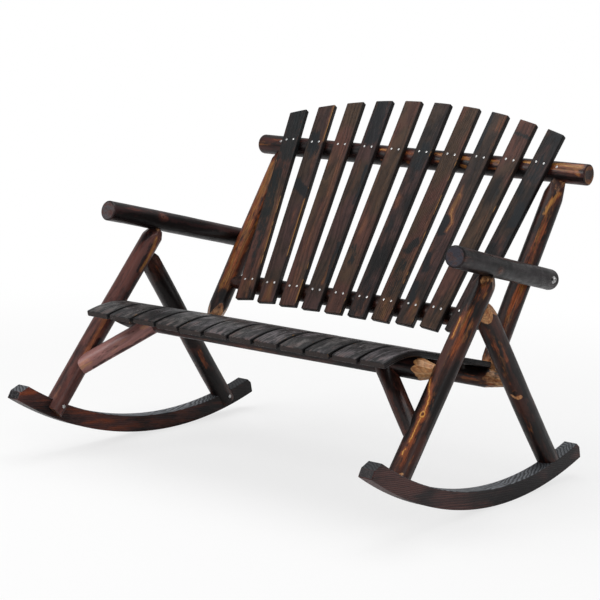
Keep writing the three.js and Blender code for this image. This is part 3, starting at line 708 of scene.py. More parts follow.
def make_rocker(name, side, look):
    half = math.asin(ROCKER_LENGTH / 2 / SOLE_CENTRE)
    ends = rounded_end(ROCKER_THICKNESS / 2, ROCKER_EDGE, BOARD_EDGE_STEPS)
    inner = half - 2 * ROCKER_EDGE / SOLE_CENTRE
    angles = list(np.linspace(-inner, inner, int(ROCKER_LENGTH / ROCKER_STEP)))
    angles.append(FRONT_CHAMFER[0] / ROCKER_TOP_RADIUS - half)
    angles.append(half - REAR_CHAMFER[0] / ROCKER_TOP_RADIUS)
    stations = [(-half + back / SOLE_CENTRE, inset, flat) for back, inset, flat in ends][::-1]
    stations += [(angle, 0, 0) for angle in sorted(angles)]
    stations += [(half - back / SOLE_CENTRE, inset, flat) for back, inset, flat in ends]
    middle = side * (ROCKER_INNER + ROCKER_THICKNESS / 2)
    rings, flats = [], []
    for angle, inset, flat in stations:
        depth = SOLE_RADIUS - rocker_top_radius(angle, half)
        outline = worn_rectangle(ROCKER_THICKNESS, depth, ROCKER_EDGE, *ROCKER_LINES)
        outline = shrunk(outline, inset)
        radius = SOLE_RADIUS - depth / 2 - outline[:, 1]
        y, z = radius * math.sin(angle), SOLE_CENTRE - radius * math.cos(angle)
        rings.append(np.stack([middle + outline[:, 0], y, z], -1))
        flats.append(np.full(len(outline), float(flat)))
    rings, flats = np.array(rings)[:, ::-1], np.array(flats)[:, ::-1]
    across = rings[..., 0] - middle
    pith = place(*ROCKER_PITH, ROCKER_GRAIN[side])
    plank = np.stack([across, rings[..., 2], rings[..., 1]], -1) + pith
    angle = np.arctan2(rings[..., 1], SOLE_CENTRE - rings[..., 2])
    radius = np.hypot(rings[..., 1], rings[..., 2] - SOLE_CENTRE)
    above = rocker_top_radius(angle, half) + TOP_MARK_DEPTH - radius
    top = np.clip(above / TOP_MARK_BLEND, 0, 1)
    # Painted light on the left rocker's inner face
    lit = np.clip(-side * across / LIT_WIDTH, 0, 1)
    # Painted shade along the sides: as listed on the faces the camera sees, an even share on the
    # others
    shown = np.clip(0.5 + across / ROCKER_THICKNESS, 0, 1)
    painted_shade = np.interp(angle / half, SHADE_PLACE_SHARES, PAINTED_SHADE_SHARES[side])
    marks = {
        "wood": plank * MM,
        "cap": flats,
        "top": top * (1 - flats),
        "pale": np.interp(angle / half, SHEEN_PLACE_SHARES, SHEEN_SHARES[side]),
        "painted_shade": HIDDEN_SHADE_SHARE + (painted_shade - HIDDEN_SHADE_SHARE) * shown,
        "lit": lit * (1 - flats) * (side < 0),
    }
    return make_piece(name, rings, marks, look, name)


# Fasteners

def outline_of(kind, radius, angles):
    """The radius of a round, six-sided or cross-shaped outline at each angle."""
    if kind == "hex":
        sixth = math.pi / 3
        return radius / np.cos((angles + sixth / 2) % sixth - sixth / 2)
    if kind == "cross":
        arms = np.abs(np.cos(2 * angles)) ** CROSS_SHARPNESS
        return radius * (CROSS_CORE_SHARE + (1 - CROSS_CORE_SHARE) * arms)
    return np.full(len(angles), float(radius))


def make_turned(name, origin, outward, profile, look, node=None):
    """A turned piece: each ring of the profile is an outline, a radius and a height outwards."""
    facing = unit(np.cross(outward, place(*TURNED_FACING)))
    sideways = np.cross(outward, facing)
    angles = np.arange(TURNED_SIDES) * 2 * math.pi / TURNED_SIDES
    cosine, sine = np.cos(angles)[:, None], np.sin(angles)[:, None]
    rings = []
    for kind, radius, height in profile:
        reach = outline_of(kind, radius, angles)[:, None]
        rings.append(origin + outward * height + reach * (cosine * facing + sine * sideways))
    rings = np.array(rings)
    return make_piece(name, rings, {"wood": rings * MM}, look, node,
                      TURNED_SHARP_ANGLE)


# Profiles of the heads: the kind of outline, its radius and its height
HEX_HEAD = [("hex", 4.6, 0), ("hex", 4.8, 0.3), ("hex", 4.8, 3.6), ("round", 4.7, 4.1),
            ("round", 4.1, 4.5), ("round", 2, 4.6)]
SOCKET_HEAD = [("round", 6.1, 0), ("round", 6.5, 0.5), ("round", 6.5, 3.7), ("round", 6.3, 4.2),
               ("round", 5.8, 4.5), ("hex", 3.1, 4.5), ("hex", 2.9, 4.2), ("hex", 2.8, 1.4),
               ("hex", 1, 1.2)]
CROSS_HEAD_SHARES = [("round", 1, 0), ("round", 1, 0.25), ("round", 0.93, 0.66),
                     ("round", 0.76, 0.9), ("cross", 0.66, 0.97), ("cross", 0.55, 0.5),
                     ("cross", 0.2, 0.2)]


def bolt(length, head, shank=BOLT_SHANK):
    return [("round", shank, -length), ("round", shank, 0), *head]


def cross_screw(length, radius, height):
    head = [(kind, out * radius, up * height) for kind, out, up in CROSS_HEAD_SHARES]
    return bolt(length, head, SCREW_SHANK)


WASHER = [("round", radius, height) for radius, height in (
    (WASHER_BORE, -WASHER_THICKNESS), (WASHER_RADIUS - WASHER_EDGE, -WASHER_THICKNESS),
    (WASHER_RADIUS, WASHER_EDGE - WASHER_THICKNESS), (WASHER_RADIUS, -WASHER_EDGE),
    (WASHER_RADIUS - WASHER_EDGE, 0), (WASHER_BORE, 0))]


# Node trees

class Tree:
    """The nodes of one material. A plain value for an input is set on the socket itself."""

    def __init__(self, name):
        self.material = bpy.data.materials.new(name)
        self.material.use_nodes = True
        self.nodes = self.material.node_tree.nodes
        self.links = self.material.node_tree.links
        self.nodes.clear()

    def set(self, node, key, value):
        if isinstance(value, bpy.types.NodeSocket):
            self.links.new(value, node.inputs[key])
        elif value is not None:
            node.inputs[key].default_value = value

    def add(self, kind, inputs=(), **settings):
        node = self.nodes.new(kind)
        for key, value in settings.items():
            setattr(node, key, value)
        for key, value in inputs.items() if isinstance(inputs, dict) else enumerate(inputs):
            self.set(node, key, value)
        return node

    def attribute(self, name, output="Fac"):
        return self.add("ShaderNodeAttribute", attribute_name=name).outputs[output]

    def math(self, operation, first, second=None):
        return self.add("ShaderNodeMath", [first, second], operation=operation).outputs[0]

    def plus(self, first, second):
        return self.math("ADD", first, second)

    def times(self, first, second):
        return self.math("MULTIPLY", first, second)

    def stretch(self, vector, share):
        return self.add("ShaderNodeVectorMath", [vector, share], operation="MULTIPLY").outputs[0]

    def length(self, vector):
        return self.add("ShaderNodeVectorMath", [vector], operation="LENGTH").outputs["Value"]

    def noise(self, vector, scale, detail=3, roughness=0.55):
        inputs = {"Vector": vector, "Scale": scale, "Detail": detail, "Roughness": roughness}
        return self.add("ShaderNodeTexNoise", inputs).outputs["Fac"]

    def nudge(self, value, noise, amount):
        """The value moved up or down by a noise."""
        return self.plus(value, self.times(self.math("SUBTRACT", noise, 0.5), amount))

    def span(self, value, low, high, start=0, end=1):
        """Maps a value between low and high smoothly to one between start and end."""
        node = self.add("ShaderNodeMapRange", [value, low, high, start, end],
                        interpolation_type="SMOOTHSTEP")
        return node.outputs[0]

    def mix(self, share, first, second):
        node = self.add("ShaderNodeMix", data_type="RGBA")
        for key, value in ((0, share), (6, first), (7, second)):
            self.set(node, key, value)
        return node.outputs[2]

    def paint(self, shade, over, value, low, high, start=0, end=1):
        """Lays a colour over a shade as the value passes from low to high."""
        return self.mix(self.span(value, low, high, start, end), shade, over)

    def bump(self, height, distance, strength):
        inputs = {"Strength": strength, "Distance": distance, "Height": height}
        return self.add("ShaderNodeBump", inputs).outputs[0]

    def finish(self, colour, roughness, normal, coat=0.1, metallic=0, specular=0.14):
        inputs = {"Base Color": colour, "Roughness": roughness, "Normal": normal,
                  "Metallic": metallic, "Coat Weight": coat, "Coat Roughness": 0.25,
                  "Specular IOR Level": specular}
        shader = self.add("ShaderNodeBsdfPrincipled", inputs)
        output = self.add("ShaderNodeOutputMaterial")
        self.links.new(shader.outputs[0], output.inputs[0])
        return self.material


def colour(red, green, blue):
    """A colour that is written as an ordinary 8-bit colour."""
    def channel(value):
        share = value / 255
        return share / 12.92 if share <= 0.04045 else ((share + 0.055) / 1.055) ** 2.4
    return (channel(red), channel(green), channel(blue), 1)


BARE = colour(198, 150, 102)
# Pale wood along the ridges between axe cuts, partly a painted highlight
RIDGE_HIGHLIGHT = colour(226, 190, 142)
WORN = colour(150, 108, 60)

# Growth rings: their spacing and how far they wander, in metres, and how finely they wander
LOG_RINGS = (0.0034, 0.018, (26, 26, 3.2))
BOARD_RINGS = (0.0048, 0.026, (14, 14, 2.6))
PLANK_RINGS = (0.0045, 0.012, (9, 9, 5))
PLANK_TOP_RINGS = (0.0042, 0.022, (18, 18, 6))
LATE_WOOD_SHARES = (0.15, 0.85)
RING_END_SHARES = (0.88, 1)

# Depth of the relief, in metres
LOG_RELIEF = 0.0008
BOARD_RELIEF = 0.0012
PLANK_RELIEF = 0.001
SCRATCH_RELIEF = 0.00005

# Figure, in metres: where colours begin and end beside a vein and round a knot
VEIN_SHAKE = 0.01
VEIN_GLOW = (0.001, 0.009)
VEIN_CORE = (0.0004, 0.0019)
KNOT_SHAKE = 0.008
KNOT_EYE = (0.002, 0.004)
KNOT_COLLAR_INSIDE = (0.0025, 0.004)
KNOT_COLLAR_OUTSIDE = (0.0045, 0.007)
KNOT_HALO = (0.006, 0.02)
KNOT_RIPPLES = 1900  # radians in a metre


def growth_rings(tree, wood, spacing, warp, warp_stretch):
    """The darkness of the growth rings, from 0 in early wood to 1 in late wood."""
    drift = tree.noise(tree.stretch(wood, warp_stretch), 1, 2, 0.5)
    cross = tree.stretch(wood, (1, 1, 0))
    warped = tree.plus(tree.length(cross), tree.times(drift, warp))
    saw = tree.math("FRACT", tree.times(warped, 1 / spacing))
    return tree.times(tree.span(saw, *LATE_WOOD_SHARES), tree.span(saw, *RING_END_SHARES, 1, 0))


def grain_lines(tree, wood, scale, stretch):
    return tree.noise(tree.stretch(wood, (1, 1, stretch)), scale, 4, 0.6)


def ragged_noise(tree, wood):
    return tree.noise(tree.stretch(wood, (1, 1, 0.3)), 110, 6, 0.72)


def figured(tree, shade, wood, char, warm, gold, eye):
    """Adds the charred streaks, the veins and the knot that a piece is marked with."""
    ragged = ragged_noise(tree, wood)
    charred = tree.nudge(tree.attribute("char"), ragged, 2.6)
    shade = tree.paint(shade, char, charred, 0.35, 0.75, 0, 0.9)
    shake = tree.noise(wood, 85, 3, 0.65)
    vein = tree.math("ABSOLUTE", tree.nudge(tree.attribute("vein"), shake, VEIN_SHAKE))
    vein = tree.math("MAXIMUM", vein, tree.attribute("vein_end"))
    strength = tree.span(ragged, 0.35, 0.6, 0.45, 1)
    shade = tree.paint(shade, warm, vein, *VEIN_GLOW, 0.6, 0)
    shade = tree.mix(tree.times(tree.span(vein, *VEIN_CORE, 1, 0), strength), shade, gold)
    oval = tree.stretch(tree.attribute("knot", "Vector"), (1, 1, 0.7))
    knot = tree.nudge(tree.length(oval), shake, KNOT_SHAKE)
    ripple = tree.span(tree.math("SINE", tree.times(knot, KNOT_RIPPLES)), -0.2, 0.9)
    shade = tree.mix(tree.times(tree.span(knot, *KNOT_HALO, 0.8, 0), ripple), shade, warm)
    inside = tree.span(knot, *KNOT_COLLAR_INSIDE)
    outside = tree.span(knot, *KNOT_COLLAR_OUTSIDE, 0.8, 0)
    shade = tree.mix(tree.times(inside, outside), shade, gold)
    return tree.paint(shade, eye, knot, *KNOT_EYE, 0.8, 0)


def coated(tree, wood, shade, height, relief, strength, smudge_scale, rough, **more):
    """The clear coat over the wood, dulled here and there by smudges."""
    smudge = tree.noise(wood, smudge_scale, 3, 0.6)
    roughness = tree.span(smudge, 0.3, 0.7, rough - 0.08, rough + 0.14)
    return tree.finish(shade, roughness, tree.bump(height, relief, strength), **more)


def axe_cut_shade(tree, wood, rings, fine, brown, warm):
    """Axe cuts down to pale wood: tan with brown streaks, and pale ridges that are partly a painted
    highlight.
    """
    bruise = tree.noise(tree.stretch(wood, (1, 1, 0.35)), 70, 4, 0.65)
    fresh = tree.paint(BARE, warm, bruise, 0.46, 0.7)
    fresh = tree.paint(fresh, warm, fine, 0.4, 0.62, 0.5, 0)
    fresh = tree.mix(tree.times(rings, 0.35), fresh, brown)
    return tree.mix(tree.times(tree.attribute("ridge"), 0.35), fresh, RIDGE_HIGHLIGHT)


def sawn_end_shade(tree, wood, rings, char, warm, cap):
    """A sawn end: stained, with its growth rings and dark specks."""
    end = tree.paint(cap, warm, tree.noise(wood, 40, 3, 0.6), 0.45, 0.57, 0, 0.6)
    end = tree.paint(end, char, rings, 0.1, 0.9, 0, 0.5)
    return tree.paint(end, char, tree.noise(wood, 300, 3, 0.6), 0.4, 0.7, 0, 0.5)


def log_look(name, shades, warm_share=0, rough=0.36, rim_share=0, coat=0.28):
    """Charred, clear-coated log: black and brown patches, lit streaks, veins, knots, axe cuts."""
    char, brown, warm, gold, cap = [colour(*shade) for shade in shades]
    tree = Tree(name)
    wood = tree.attribute("wood", "Vector")
    rings = growth_rings(tree, wood, *LOG_RINGS)
    fine = grain_lines(tree, wood, 520, 0.03)
    streak = grain_lines(tree, wood, 95, 0.07)
    patches = tree.noise(tree.stretch(wood, (22, 22, 7)), 1, 4, 0.62)
    level = tree.nudge(tree.nudge(patches, tree.attribute("tone"), 0.5), streak, 0.5)
    shade = tree.paint(char, brown, level, 0.38, 0.66)
    lit = tree.noise(tree.stretch(wood, (26, 26, 6)), 1.5, 4, 0.6)
    glow = tree.nudge(tree.attribute("glow"), ragged_noise(tree, wood), 2.2)
    lit = tree.plus(tree.nudge(lit, streak, 0.6), tree.times(glow, 0.44))
    lit_shade = tree.paint(warm, gold, rings, 0.55, 1, 0, 0.35)
    lit_shade = tree.paint(lit_shade, gold, glow, 1.05, 1.7, 0, 0.7)
    lit_shade = tree.paint(lit_shade, brown, fine, 0.38, 0.66, 0.7, 0)
    shade = tree.paint(shade, lit_shade, lit, 0.7 - warm_share, 1.02 - warm_share)
    shade = tree.mix(tree.times(rings, 0.3), shade, char)
    shade = figured(tree, shade, wood, char, warm, gold, brown)
    singe = tree.noise(tree.stretch(wood, (1, 1, 0.6)), 48, 5, 0.65)
    singed = tree.nudge(tree.attribute("bare"), singe, 1.3)
    fresh = axe_cut_shade(tree, wood, rings, fine, brown, warm)
    shade = tree.paint(shade, fresh, singed, 0.28, 0.62)
    end = sawn_end_shade(tree, wood, rings, char, warm, cap)
    rim = tree.times(tree.attribute("rim"), tree.span(singe, 0.42, 0.56, 0, rim_share))
    shade = tree.mix(tree.attribute("cap"), shade, tree.mix(rim, end, gold))
    height = tree.plus(tree.times(rings, 0.5), fine)
    height = tree.plus(height, tree.times(streak, 1.2))
    return coated(tree, wood, shade, height, LOG_RELIEF, 0.6, 35, rough, coat=coat, specular=0.12)


def board_look(name, shades, rough=0.4, line_share=0.6, mottled=0.4, mottle_top=0.54, nose_share=1):
    """Charred, brushed and clear-coated board: grain in relief, dark and blue-black patches."""
    char, brown, olive, warm, chill, cap = [colour(*shade) for shade in shades]
    tree = Tree(name)
    wood = tree.attribute("wood", "Vector")
    tone = tree.attribute("tone")
    rings = growth_rings(tree, wood, *BOARD_RINGS)
    fine = grain_lines(tree, wood, 430, 0.03)
    streak = grain_lines(tree, wood, 80, 0.05)
    patches = tree.noise(tree.stretch(wood, (18, 18, 8)), 1, 4, 0.62)
    mottle = tree.noise(tree.stretch(wood, (1, 1, 0.4)), 62, 4, 0.65)
    hue = tree.noise(tree.stretch(wood, (9, 9, 6)), 1, 2, 0.5)
    level = tree.nudge(tree.nudge(patches, tone, 0.8), streak, 0.22)
    stained = tree.paint(brown, olive, hue, 0.42, 0.58)
    shade = tree.paint(char, stained, level, 0.34, 0.6)
    cold = tree.noise(tree.stretch(wood, (20, 20, 10)), 1.1, 3, 0.6)
    cold = tree.nudge(tree.nudge(cold, tone, -0.35), mottle, 0.3)
    shade = tree.paint(shade, chill, cold, 0.56, 0.68, 0, 0.8)
    glow = tree.attribute("glow")
    lit = tree.noise(tree.stretch(wood, (30, 30, 5)), 1.3, 3, 0.6)
    lit = tree.nudge(tree.plus(lit, tree.times(glow, 0.3)), streak, 0.25)
    lit = tree.times(tree.span(lit, 0.55, 0.85, 0, 0.8), tree.span(level, 0.36, 0.6))
    lit_shade = tree.mix(tree.times(tree.span(glow, 0.8, 1.2), streak), warm, WORN)
    shade = tree.mix(lit, shade, lit_shade)
    nose = tree.times(tree.attribute("nose"), tree.span(mottle, 0.5, 0.62, 0, nose_share))
    shade = tree.mix(nose, shade, warm)
    lines = tree.times(rings, tree.span(fine, 0.3, 0.7, line_share / 2, line_share))
    shade = tree.mix(lines, shade, char)
    shade = tree.paint(shade, char, mottle, mottle_top - 0.18, mottle_top, mottled, 0)
    shade = worn_edges(tree, shade, wood, glow, char)
    shade = figured(tree, shade, wood, chill, warm, WORN, chill)
    shade = tree.mix(tree.attribute("cap"), shade, cap)
    height = tree.plus(tree.math("SUBTRACT", fine, rings), tree.times(streak, 0.8))
    return coated(tree, wood, shade, height, BOARD_RELIEF, 0.8, 30, rough)


def worn_edges(tree, shade, wood, glow, char):
    """Chars a board's edges black, with golden wood where the char has worn through."""
    edge = tree.attribute("edge")
    wear = tree.noise(tree.stretch(wood, (60, 60, 12)), 1, 4, 0.65)
    wear = tree.plus(wear, tree.times(glow, 0.16))
    shade = tree.paint(shade, char, edge, 0.84, 0.96, 0, 0.85)
    worn = tree.times(tree.span(edge, 0.87, 0.92), tree.span(wear, 0.62, 0.68, 0, 0.75))
    worn = tree.times(worn, tree.span(edge, 0.95, 0.985, 1, 0))
    return tree.mix(worn, shade, WORN)


def rocker_look():
    """Sawn, charred plank: red-brown faces with painted light and shade, straight grain, and a grey
    rough top and ends that is partly painted sheen.
    """
    tree = Tree("rocker_red_brown")
    wood = tree.attribute("wood", "Vector")
    char = colour(20, 15, 17)
    rings = growth_rings(tree, wood, *PLANK_RINGS)
    fine = grain_lines(tree, wood, 420, 0.03)
    streak = grain_lines(tree, wood, 120, 0.04)
    patches = tree.noise(tree.stretch(wood, (12, 12, 5)), 1, 3, 0.6)
    lit, painted_shade, pale, top, cap = map(tree.attribute, ("lit", "painted_shade", "pale", "top", "cap"))
    # The sides are darkened by painted shade, and the left rocker's inner face is lightened by
    # painted light
    level = tree.nudge(tree.nudge(patches, streak, 0.4), painted_shade, -0.3)
    shade = tree.paint(char, colour(82, 50, 46), tree.nudge(level, lit, 0.2), 0.3, 0.62)
    lines = tree.times(tree.span(fine, 0.35, 0.65, 0.35, 0.95), tree.span(lit, 0, 1, 1, 0.5))
    shade = tree.mix(tree.times(rings, lines), shade, char)
    # Orange figure, partly the wood's own, spread by the painted light and held back in the painted
    # shade
    glow = tree.noise(tree.stretch(wood, (34, 60, 9)), 1, 4, 0.6)
    glow = tree.times(tree.span(glow, 0.44, 0.68, 0, 0.75), lit)
    glow = tree.times(glow, tree.span(painted_shade, 0.3, 1.5, 1, 0))
    shade = tree.mix(glow, shade, colour(134, 64, 34))
    # The grey top with pale curly grain: partly painted sheen, faded near the legs as painted
    # shadow
    curl = growth_rings(tree, wood, *PLANK_TOP_RINGS)
    curl = tree.times(tree.span(curl, 0.1, 0.8, 1, 0.25), tree.span(fine, 0.32, 0.55, 0.3, 1))
    top_shade = tree.mix(tree.times(curl, pale), colour(32, 32, 34), colour(140, 144, 150))
    shade = tree.mix(top, shade, top_shade)
    # Grey ends, partly painted sheen, with dark specks
    speck = tree.noise(wood, 260, 3, 0.7)
    end = tree.mix(pale, colour(54, 47, 46), colour(102, 103, 107))
    shade = tree.mix(cap, shade, tree.paint(colour(26, 24, 26), end, speck, 0.45, 0.7))
    rough_cut = tree.math("MAXIMUM", top, cap)
    height = tree.math("SUBTRACT", fine, rings)
    height = tree.plus(height, tree.times(tree.times(rough_cut, speck), 1.5))
    roughness = tree.span(rough_cut, 0, 1, 0.4, 0.6)
    return tree.finish(shade, roughness, tree.bump(height, PLANK_RELIEF, 0.7))


def steel_look():
    tree = Tree("bright_steel")
    wood = tree.attribute("wood", "Vector")
    scratch = tree.noise(wood, 900, 3, 0.6)
    dull = tree.noise(wood, 260, 2, 0.5)
    shade = tree.mix(tree.span(dull, 0.3, 0.7), colour(214, 214, 212), colour(178, 178, 180))
    roughness = tree.span(scratch, 0.3, 0.7, 0.22, 0.42)
    return tree.finish(shade, roughness, tree.bump(scratch, SCRATCH_RELIEF, 0.4), 0, 0.85, 0.5)


# The looks of the wood, from ordinary 8-bit colours. A log has char, brown, warm, gold and its
# sawn end, and a board has char, brown, olive, warm, cold black and its end.

GOLD = (206, 150, 72)
DULL_GOLD = (98, 62, 46)
BROWN_END = (70, 50, 40)
brown_log = log_look("log_brown", ((18, 13, 13), (66, 35, 27), (144, 74, 36), GOLD, BROWN_END))
red_log = log_look("log_red", ((24, 16, 18), (92, 54, 48), (152, 92, 58), GOLD, BROWN_END))
pink_log = log_look("log_pink", ((48, 30, 32), (144, 100, 95), (190, 134, 106), GOLD, BROWN_END),
                    rough=0.3)
black_log = log_look("log_black", ((14, 12, 14), (44, 38, 40), (86, 54, 45), DULL_GOLD,
                                   (56, 55, 66)), -0.06, rough=0.34, coat=0.12)
dark_red_log = log_look("log_dark_red", ((14, 11, 12), (52, 31, 31), (98, 52, 42), DULL_GOLD,
                                         (90, 84, 86)), -0.1, rough=0.34)
rail_log = log_look("log_rail", ((17, 12, 13), (68, 34, 29), (150, 84, 40), GOLD, (56, 36, 31)),
                    -0.06, rim_share=0.45)
slat_brown = board_look("slat_brown", ((17, 14, 13), (80, 50, 42), (68, 50, 37), (108, 68, 48),
                                       (17, 23, 25), (42, 29, 25)))
slat_dark = board_look("slat_dark", ((16, 14, 15), (66, 45, 42), (56, 42, 34), (112, 68, 46),
                                     (17, 22, 26), (34, 27, 25)))
seat_grey = board_look("seat_grey", ((9, 9, 11), (100, 95, 98), (86, 83, 82), (104, 76, 70),
                                     (26, 27, 30), (48, 40, 38)), rough=0.32, line_share=0.9,
                       mottled=0.9, mottle_top=0.6, nose_share=0.6)
rocker_wood = rocker_look()
steel = steel_look()

# Lines of the logs

SIDES = {"left": -1, "right": 1}
BOLT_GAP = WASHER_THICKNESS + FIT_GAP


def arm_line(side):
    front = mirrored(ARM_FRONT, side)
    reach = POST_PLANE + POST_RADIUS + ARM_RADIUS - ARM_SADDLE
    at_post = place(side * reach, back_line_y(ARM_REAR_HEIGHT) + POST_SETBACK, ARM_REAR_HEIGHT)
    return front, at_post + unit(at_post - front) * ARM_OVERHANG


def front_leg_line(side):
    """From the lap on the rocker up to the skin of the armrest."""
    low, high = mirrored(FRONT_LEG[0], side), mirrored(FRONT_LEG[1], side)
    arm_start, arm_end = arm_line(side)
    arm_slope = (arm_end[2] - arm_start[2]) / (arm_end[1] - arm_start[1])
    leg_slope = (high[1] - low[1]) / (high[2] - low[2])
    level_head = arm_start[2] + arm_slope * (low[1] - leg_slope * low[2] - arm_start[1])
    head = (level_head - ARM_RADIUS + SHOULDER_SINK) / (1 - arm_slope * leg_slope)
    return low, at_height(low, high, head)


def rear_leg_line(side):
    """From the lap on the rocker up to the rear side of the front leg."""
    low, high = mirrored(REAR_LEG[0], side), mirrored(REAR_LEG[1], side)
    front_low, front_high = mirrored(FRONT_LEG[0], side), mirrored(FRONT_LEG[1], side)
    front_slope = (front_high[1] - front_low[1]) / (front_high[2] - front_low[2])
    rear_slope = (high[1] - low[1]) / (high[2] - low[2])
    rise = front_low[1] - low[1] + rear_slope * low[2] - front_slope * front_low[2]
    cross = at_height(low, high, rise / (rear_slope - front_slope))
    skin = (LEG_RADIUS - SHOULDER_SINK) / math.sin(math.atan(front_slope) - math.atan(rear_slope))
    return low, cross + unit(low - cross) * skin


def post_line(side):
    x = side * POST_PLANE
    foot = place(x, back_line_y(REAR_RAIL_HEIGHT) + POST_SETBACK, REAR_RAIL_HEIGHT)
    head = place(x, TOP_RAIL[0] + POST_SETBACK, TOP_RAIL[1])
    along = unit(head - foot)
    foot = foot + along * (REAR_RAIL_RADIUS - POST_SINK)
    return foot, head - along * (TOP_RAIL_RADIUS - POST_SINK)


def brace_axis(side):
    """From the axis of the front leg to the axis of the front seat rail."""
    foot = at_height(mirrored(FRONT_LEG[0], side), mirrored(FRONT_LEG[1], side), BRACE_FOOT)
    return foot, place(foot[0] - side * BRACE_REACH, front_rail_end[1], FRONT_RAIL_HEIGHT)


def brace_line(side):
    foot, head = brace_axis(side)
    along = unit(head - foot) * BRACE_BURIED_SHARE
    return foot + along * LEG_RADIUS, head - along * FRONT_RAIL_RADIUS


def cross_line(half, y, z):
    return place(-half, y, z), place(half, y, z)


# Figure that shows on the logs: places along and angles round, and half widths of streaks

# Glows down the middle of the side facing the viewer are partly painted light, and chars along
# the edges of the legs and posts are partly painted shade.
FIGURES = {
    "front_leg_right": {
        "knot": (194, -24),
        "veins": [[(80, -36), (98, -30)], [(116, -28), (137, -26), (157, -27), (188, -26)],
                  [(199, -19), (222, -22), (244, -30), (265, -48), (292, -70)],
                  [(412, -47), (470, -50)]],
        "glows": [([(575, 0), (490, -14), (420, -8), (350, -14)], 19, 0.8),
                  ([(340, -20), (217, -16), (106, -14), (40, -8)], 17, 0.55)],
        "chars": [([(350, 44), (150, 50)], 13, 0.9), ([(120, -60), (300, -75)], 8, 0.8)],
        "bares": [([(29, -6), (34, 4)], 3.5, 0.9)],
    },
    "front_leg_left": {
        "glows": [([(300, 8), (254, 8), (208, 12), (172, 14)], 12, 1.1),
                  ([(91, -30), (35, -20)], 12, 0.6), ([(585, 34), (527, 54), (478, 52)], 7, 1.6),
                  ([(562, 44), (528, 54)], 10, 1.6)],
        "chars": [([(236, 46), (196, 40)], 10, 1.2), ([(450, 62), (330, 50)], 9, 0.8),
                  ([(592, -10), (560, -30)], 9, 0.9), ([(560, 24), (470, 32)], 6, 0.8)],
    },
    "rear_leg_right": {
        "glows": [([(560, -20), (458, -22), (362, -28)], 11, 0.65), ([(540, 14), (440, 6)], 5, 1),
                  ([(332, -24), (316, -14)], 10, 0.9), ([(250, -20), (60, -20)], 14, 0.5)],
        "chars": [([(460, 38), (60, 42)], 15, 1), ([(250, -68), (60, -68)], 9, 0.9),
                  ([(326, -24)], 7, 1.4)],
        "bares": [([(320, -46), (311, -32)], 3.5, 1.1), ([(308, -20), (309, -6)], 5.5, 1.3)],
    },
    "rear_leg_left": {
        "glows": [([(240, 18), (205, 10), (170, 4)], 10, 1.05), ([(585, 20), (520, 30)], 9, 0.5)],
        "chars": [([(520, 0), (280, 0)], 30, 1), ([(140, 0), (40, 0)], 30, 1)],
    },
    # A glow along the upper side, partly painted light, and a char along the lower side, partly
    # painted shade
    "armrest_left": {
        "knot": (190, -25),
        "glows": [([(186, -27), (204, -20)], 13, 1.7), ([(40, -40), (500, -40)], 14, 0.7)],
        "chars": [([(20, 26), (520, 20)], 19, 1.1)],
    },
    # A glow along the upper side, partly painted light, and a char along the lower side, partly
    # painted shade
    "armrest_right": {
        "knot": (207, 22),
        "glows": [([(8, 0), (50, -4)], 16, 0.8), ([(20, -58), (340, -64)], 10, 1)],
        "chars": [([(24, -34), (340, -42)], 6, 1.1), ([(60, 58), (520, 52)], 11, 0.9)],
    },
    "back_post_left": {
        "glows": [([(520, -40), (378, -30), (254, -26), (110, -16)], 27, 1.2)],
        "chars": [([(94, -8), (72, 0)], 10, 0.9)],
    },
    "back_post_right": {
        "glows": [([(530, 20), (514, 4), (490, -10), (458, -24)], 9, 1.7),
                  ([(490, -6), (386, -8), (314, -4)], 16, 0.9),
                  ([(314, -2), (232, 4), (165, 2), (100, -4)], 18, 0.95)],
        "chars": [([(490, 54), (120, 58)], 12, 0.9), ([(470, -64), (120, -64)], 10, 0.9),
                  ([(470, -34), (400, -38)], 6, 0.8)],
    },
    "top_rail": {
        "glows": [([(452, -30), (480, -26)], 7, 1.6), ([(456, 32), (476, 36)], 9, 1.3),
                  ([(536, -22), (566, -20)], 11, 1), ([(548, 34), (560, 38)], 7, 1.3),
                  ([(636, -34), (674, -30)], 10, 1.6), ([(646, 8), (664, 12)], 11, 1.1),
                  ([(726, -26), (752, -20)], 9, 1.4), ([(734, 20), (746, 22)], 8, 1),
                  ([(812, -20), (852, -14)], 11, 1.5), ([(822, 22), (846, 24)], 9, 1),
                  ([(928, -36), (956, -32)], 9, 1.7), ([(912, -6), (930, 0)], 11, 0.9),
                  ([(1002, -40), (1100, -37)], 10, 1.6), ([(1090, -20), (1102, 16)], 9, 1.3),
                  ([(1020, -8), (1080, -4)], 9, 0.9), ([(16, -10), (90, -10)], 26, 0.65)],
        "chars": [([(130, 0), (380, 0)], 30, 0.75), ([(1010, 34), (1118, 38)], 12, 0.9),
                  ([(1030, 8), (1070, 12)], 5, 0.6)],
    },
    "front_seat_rail": {"glows": [([(300, 60), (760, 60)], 9, 0.6)]},
    "rear_seat_rail": {"glows": [([(1040, 30), (960, 20)], 14, 1)]},
    "lower_back_rail": {"glows": [([(749, 40)], 16, 0.9), ([(664, 32)], 15, 0.9),
                                  ([(579, 20)], 14, 0.9), ([(260, 0)], 12, 0.8)]},
    "brace_left": {"glows": [([(14, 8), (36, 12)], 13, 1.1), ([(214, -14), (236, -6)], 8, 1),
                             ([(97, 30), (230, 32)], 7, 0.7)],
                   "chars": [([(60, 6), (130, -2)], 7, 0.35), ([(150, -24), (205, -30)], 8, 0.35),
                             ([(40, 58), (230, 60)], 8, 0.8)]},
    "brace_right": {"chars": [([(0, 0), (220, 0)], 20, 0.8)]},
}
RED_LOGS = {"front_leg_left": red_log, "brace_left": pink_log}
BLACK_LOGS = {"armrest_left": dark_red_log, "armrest_right": black_log,
              "front_seat_rail": rail_log, "top_rail": rail_log}

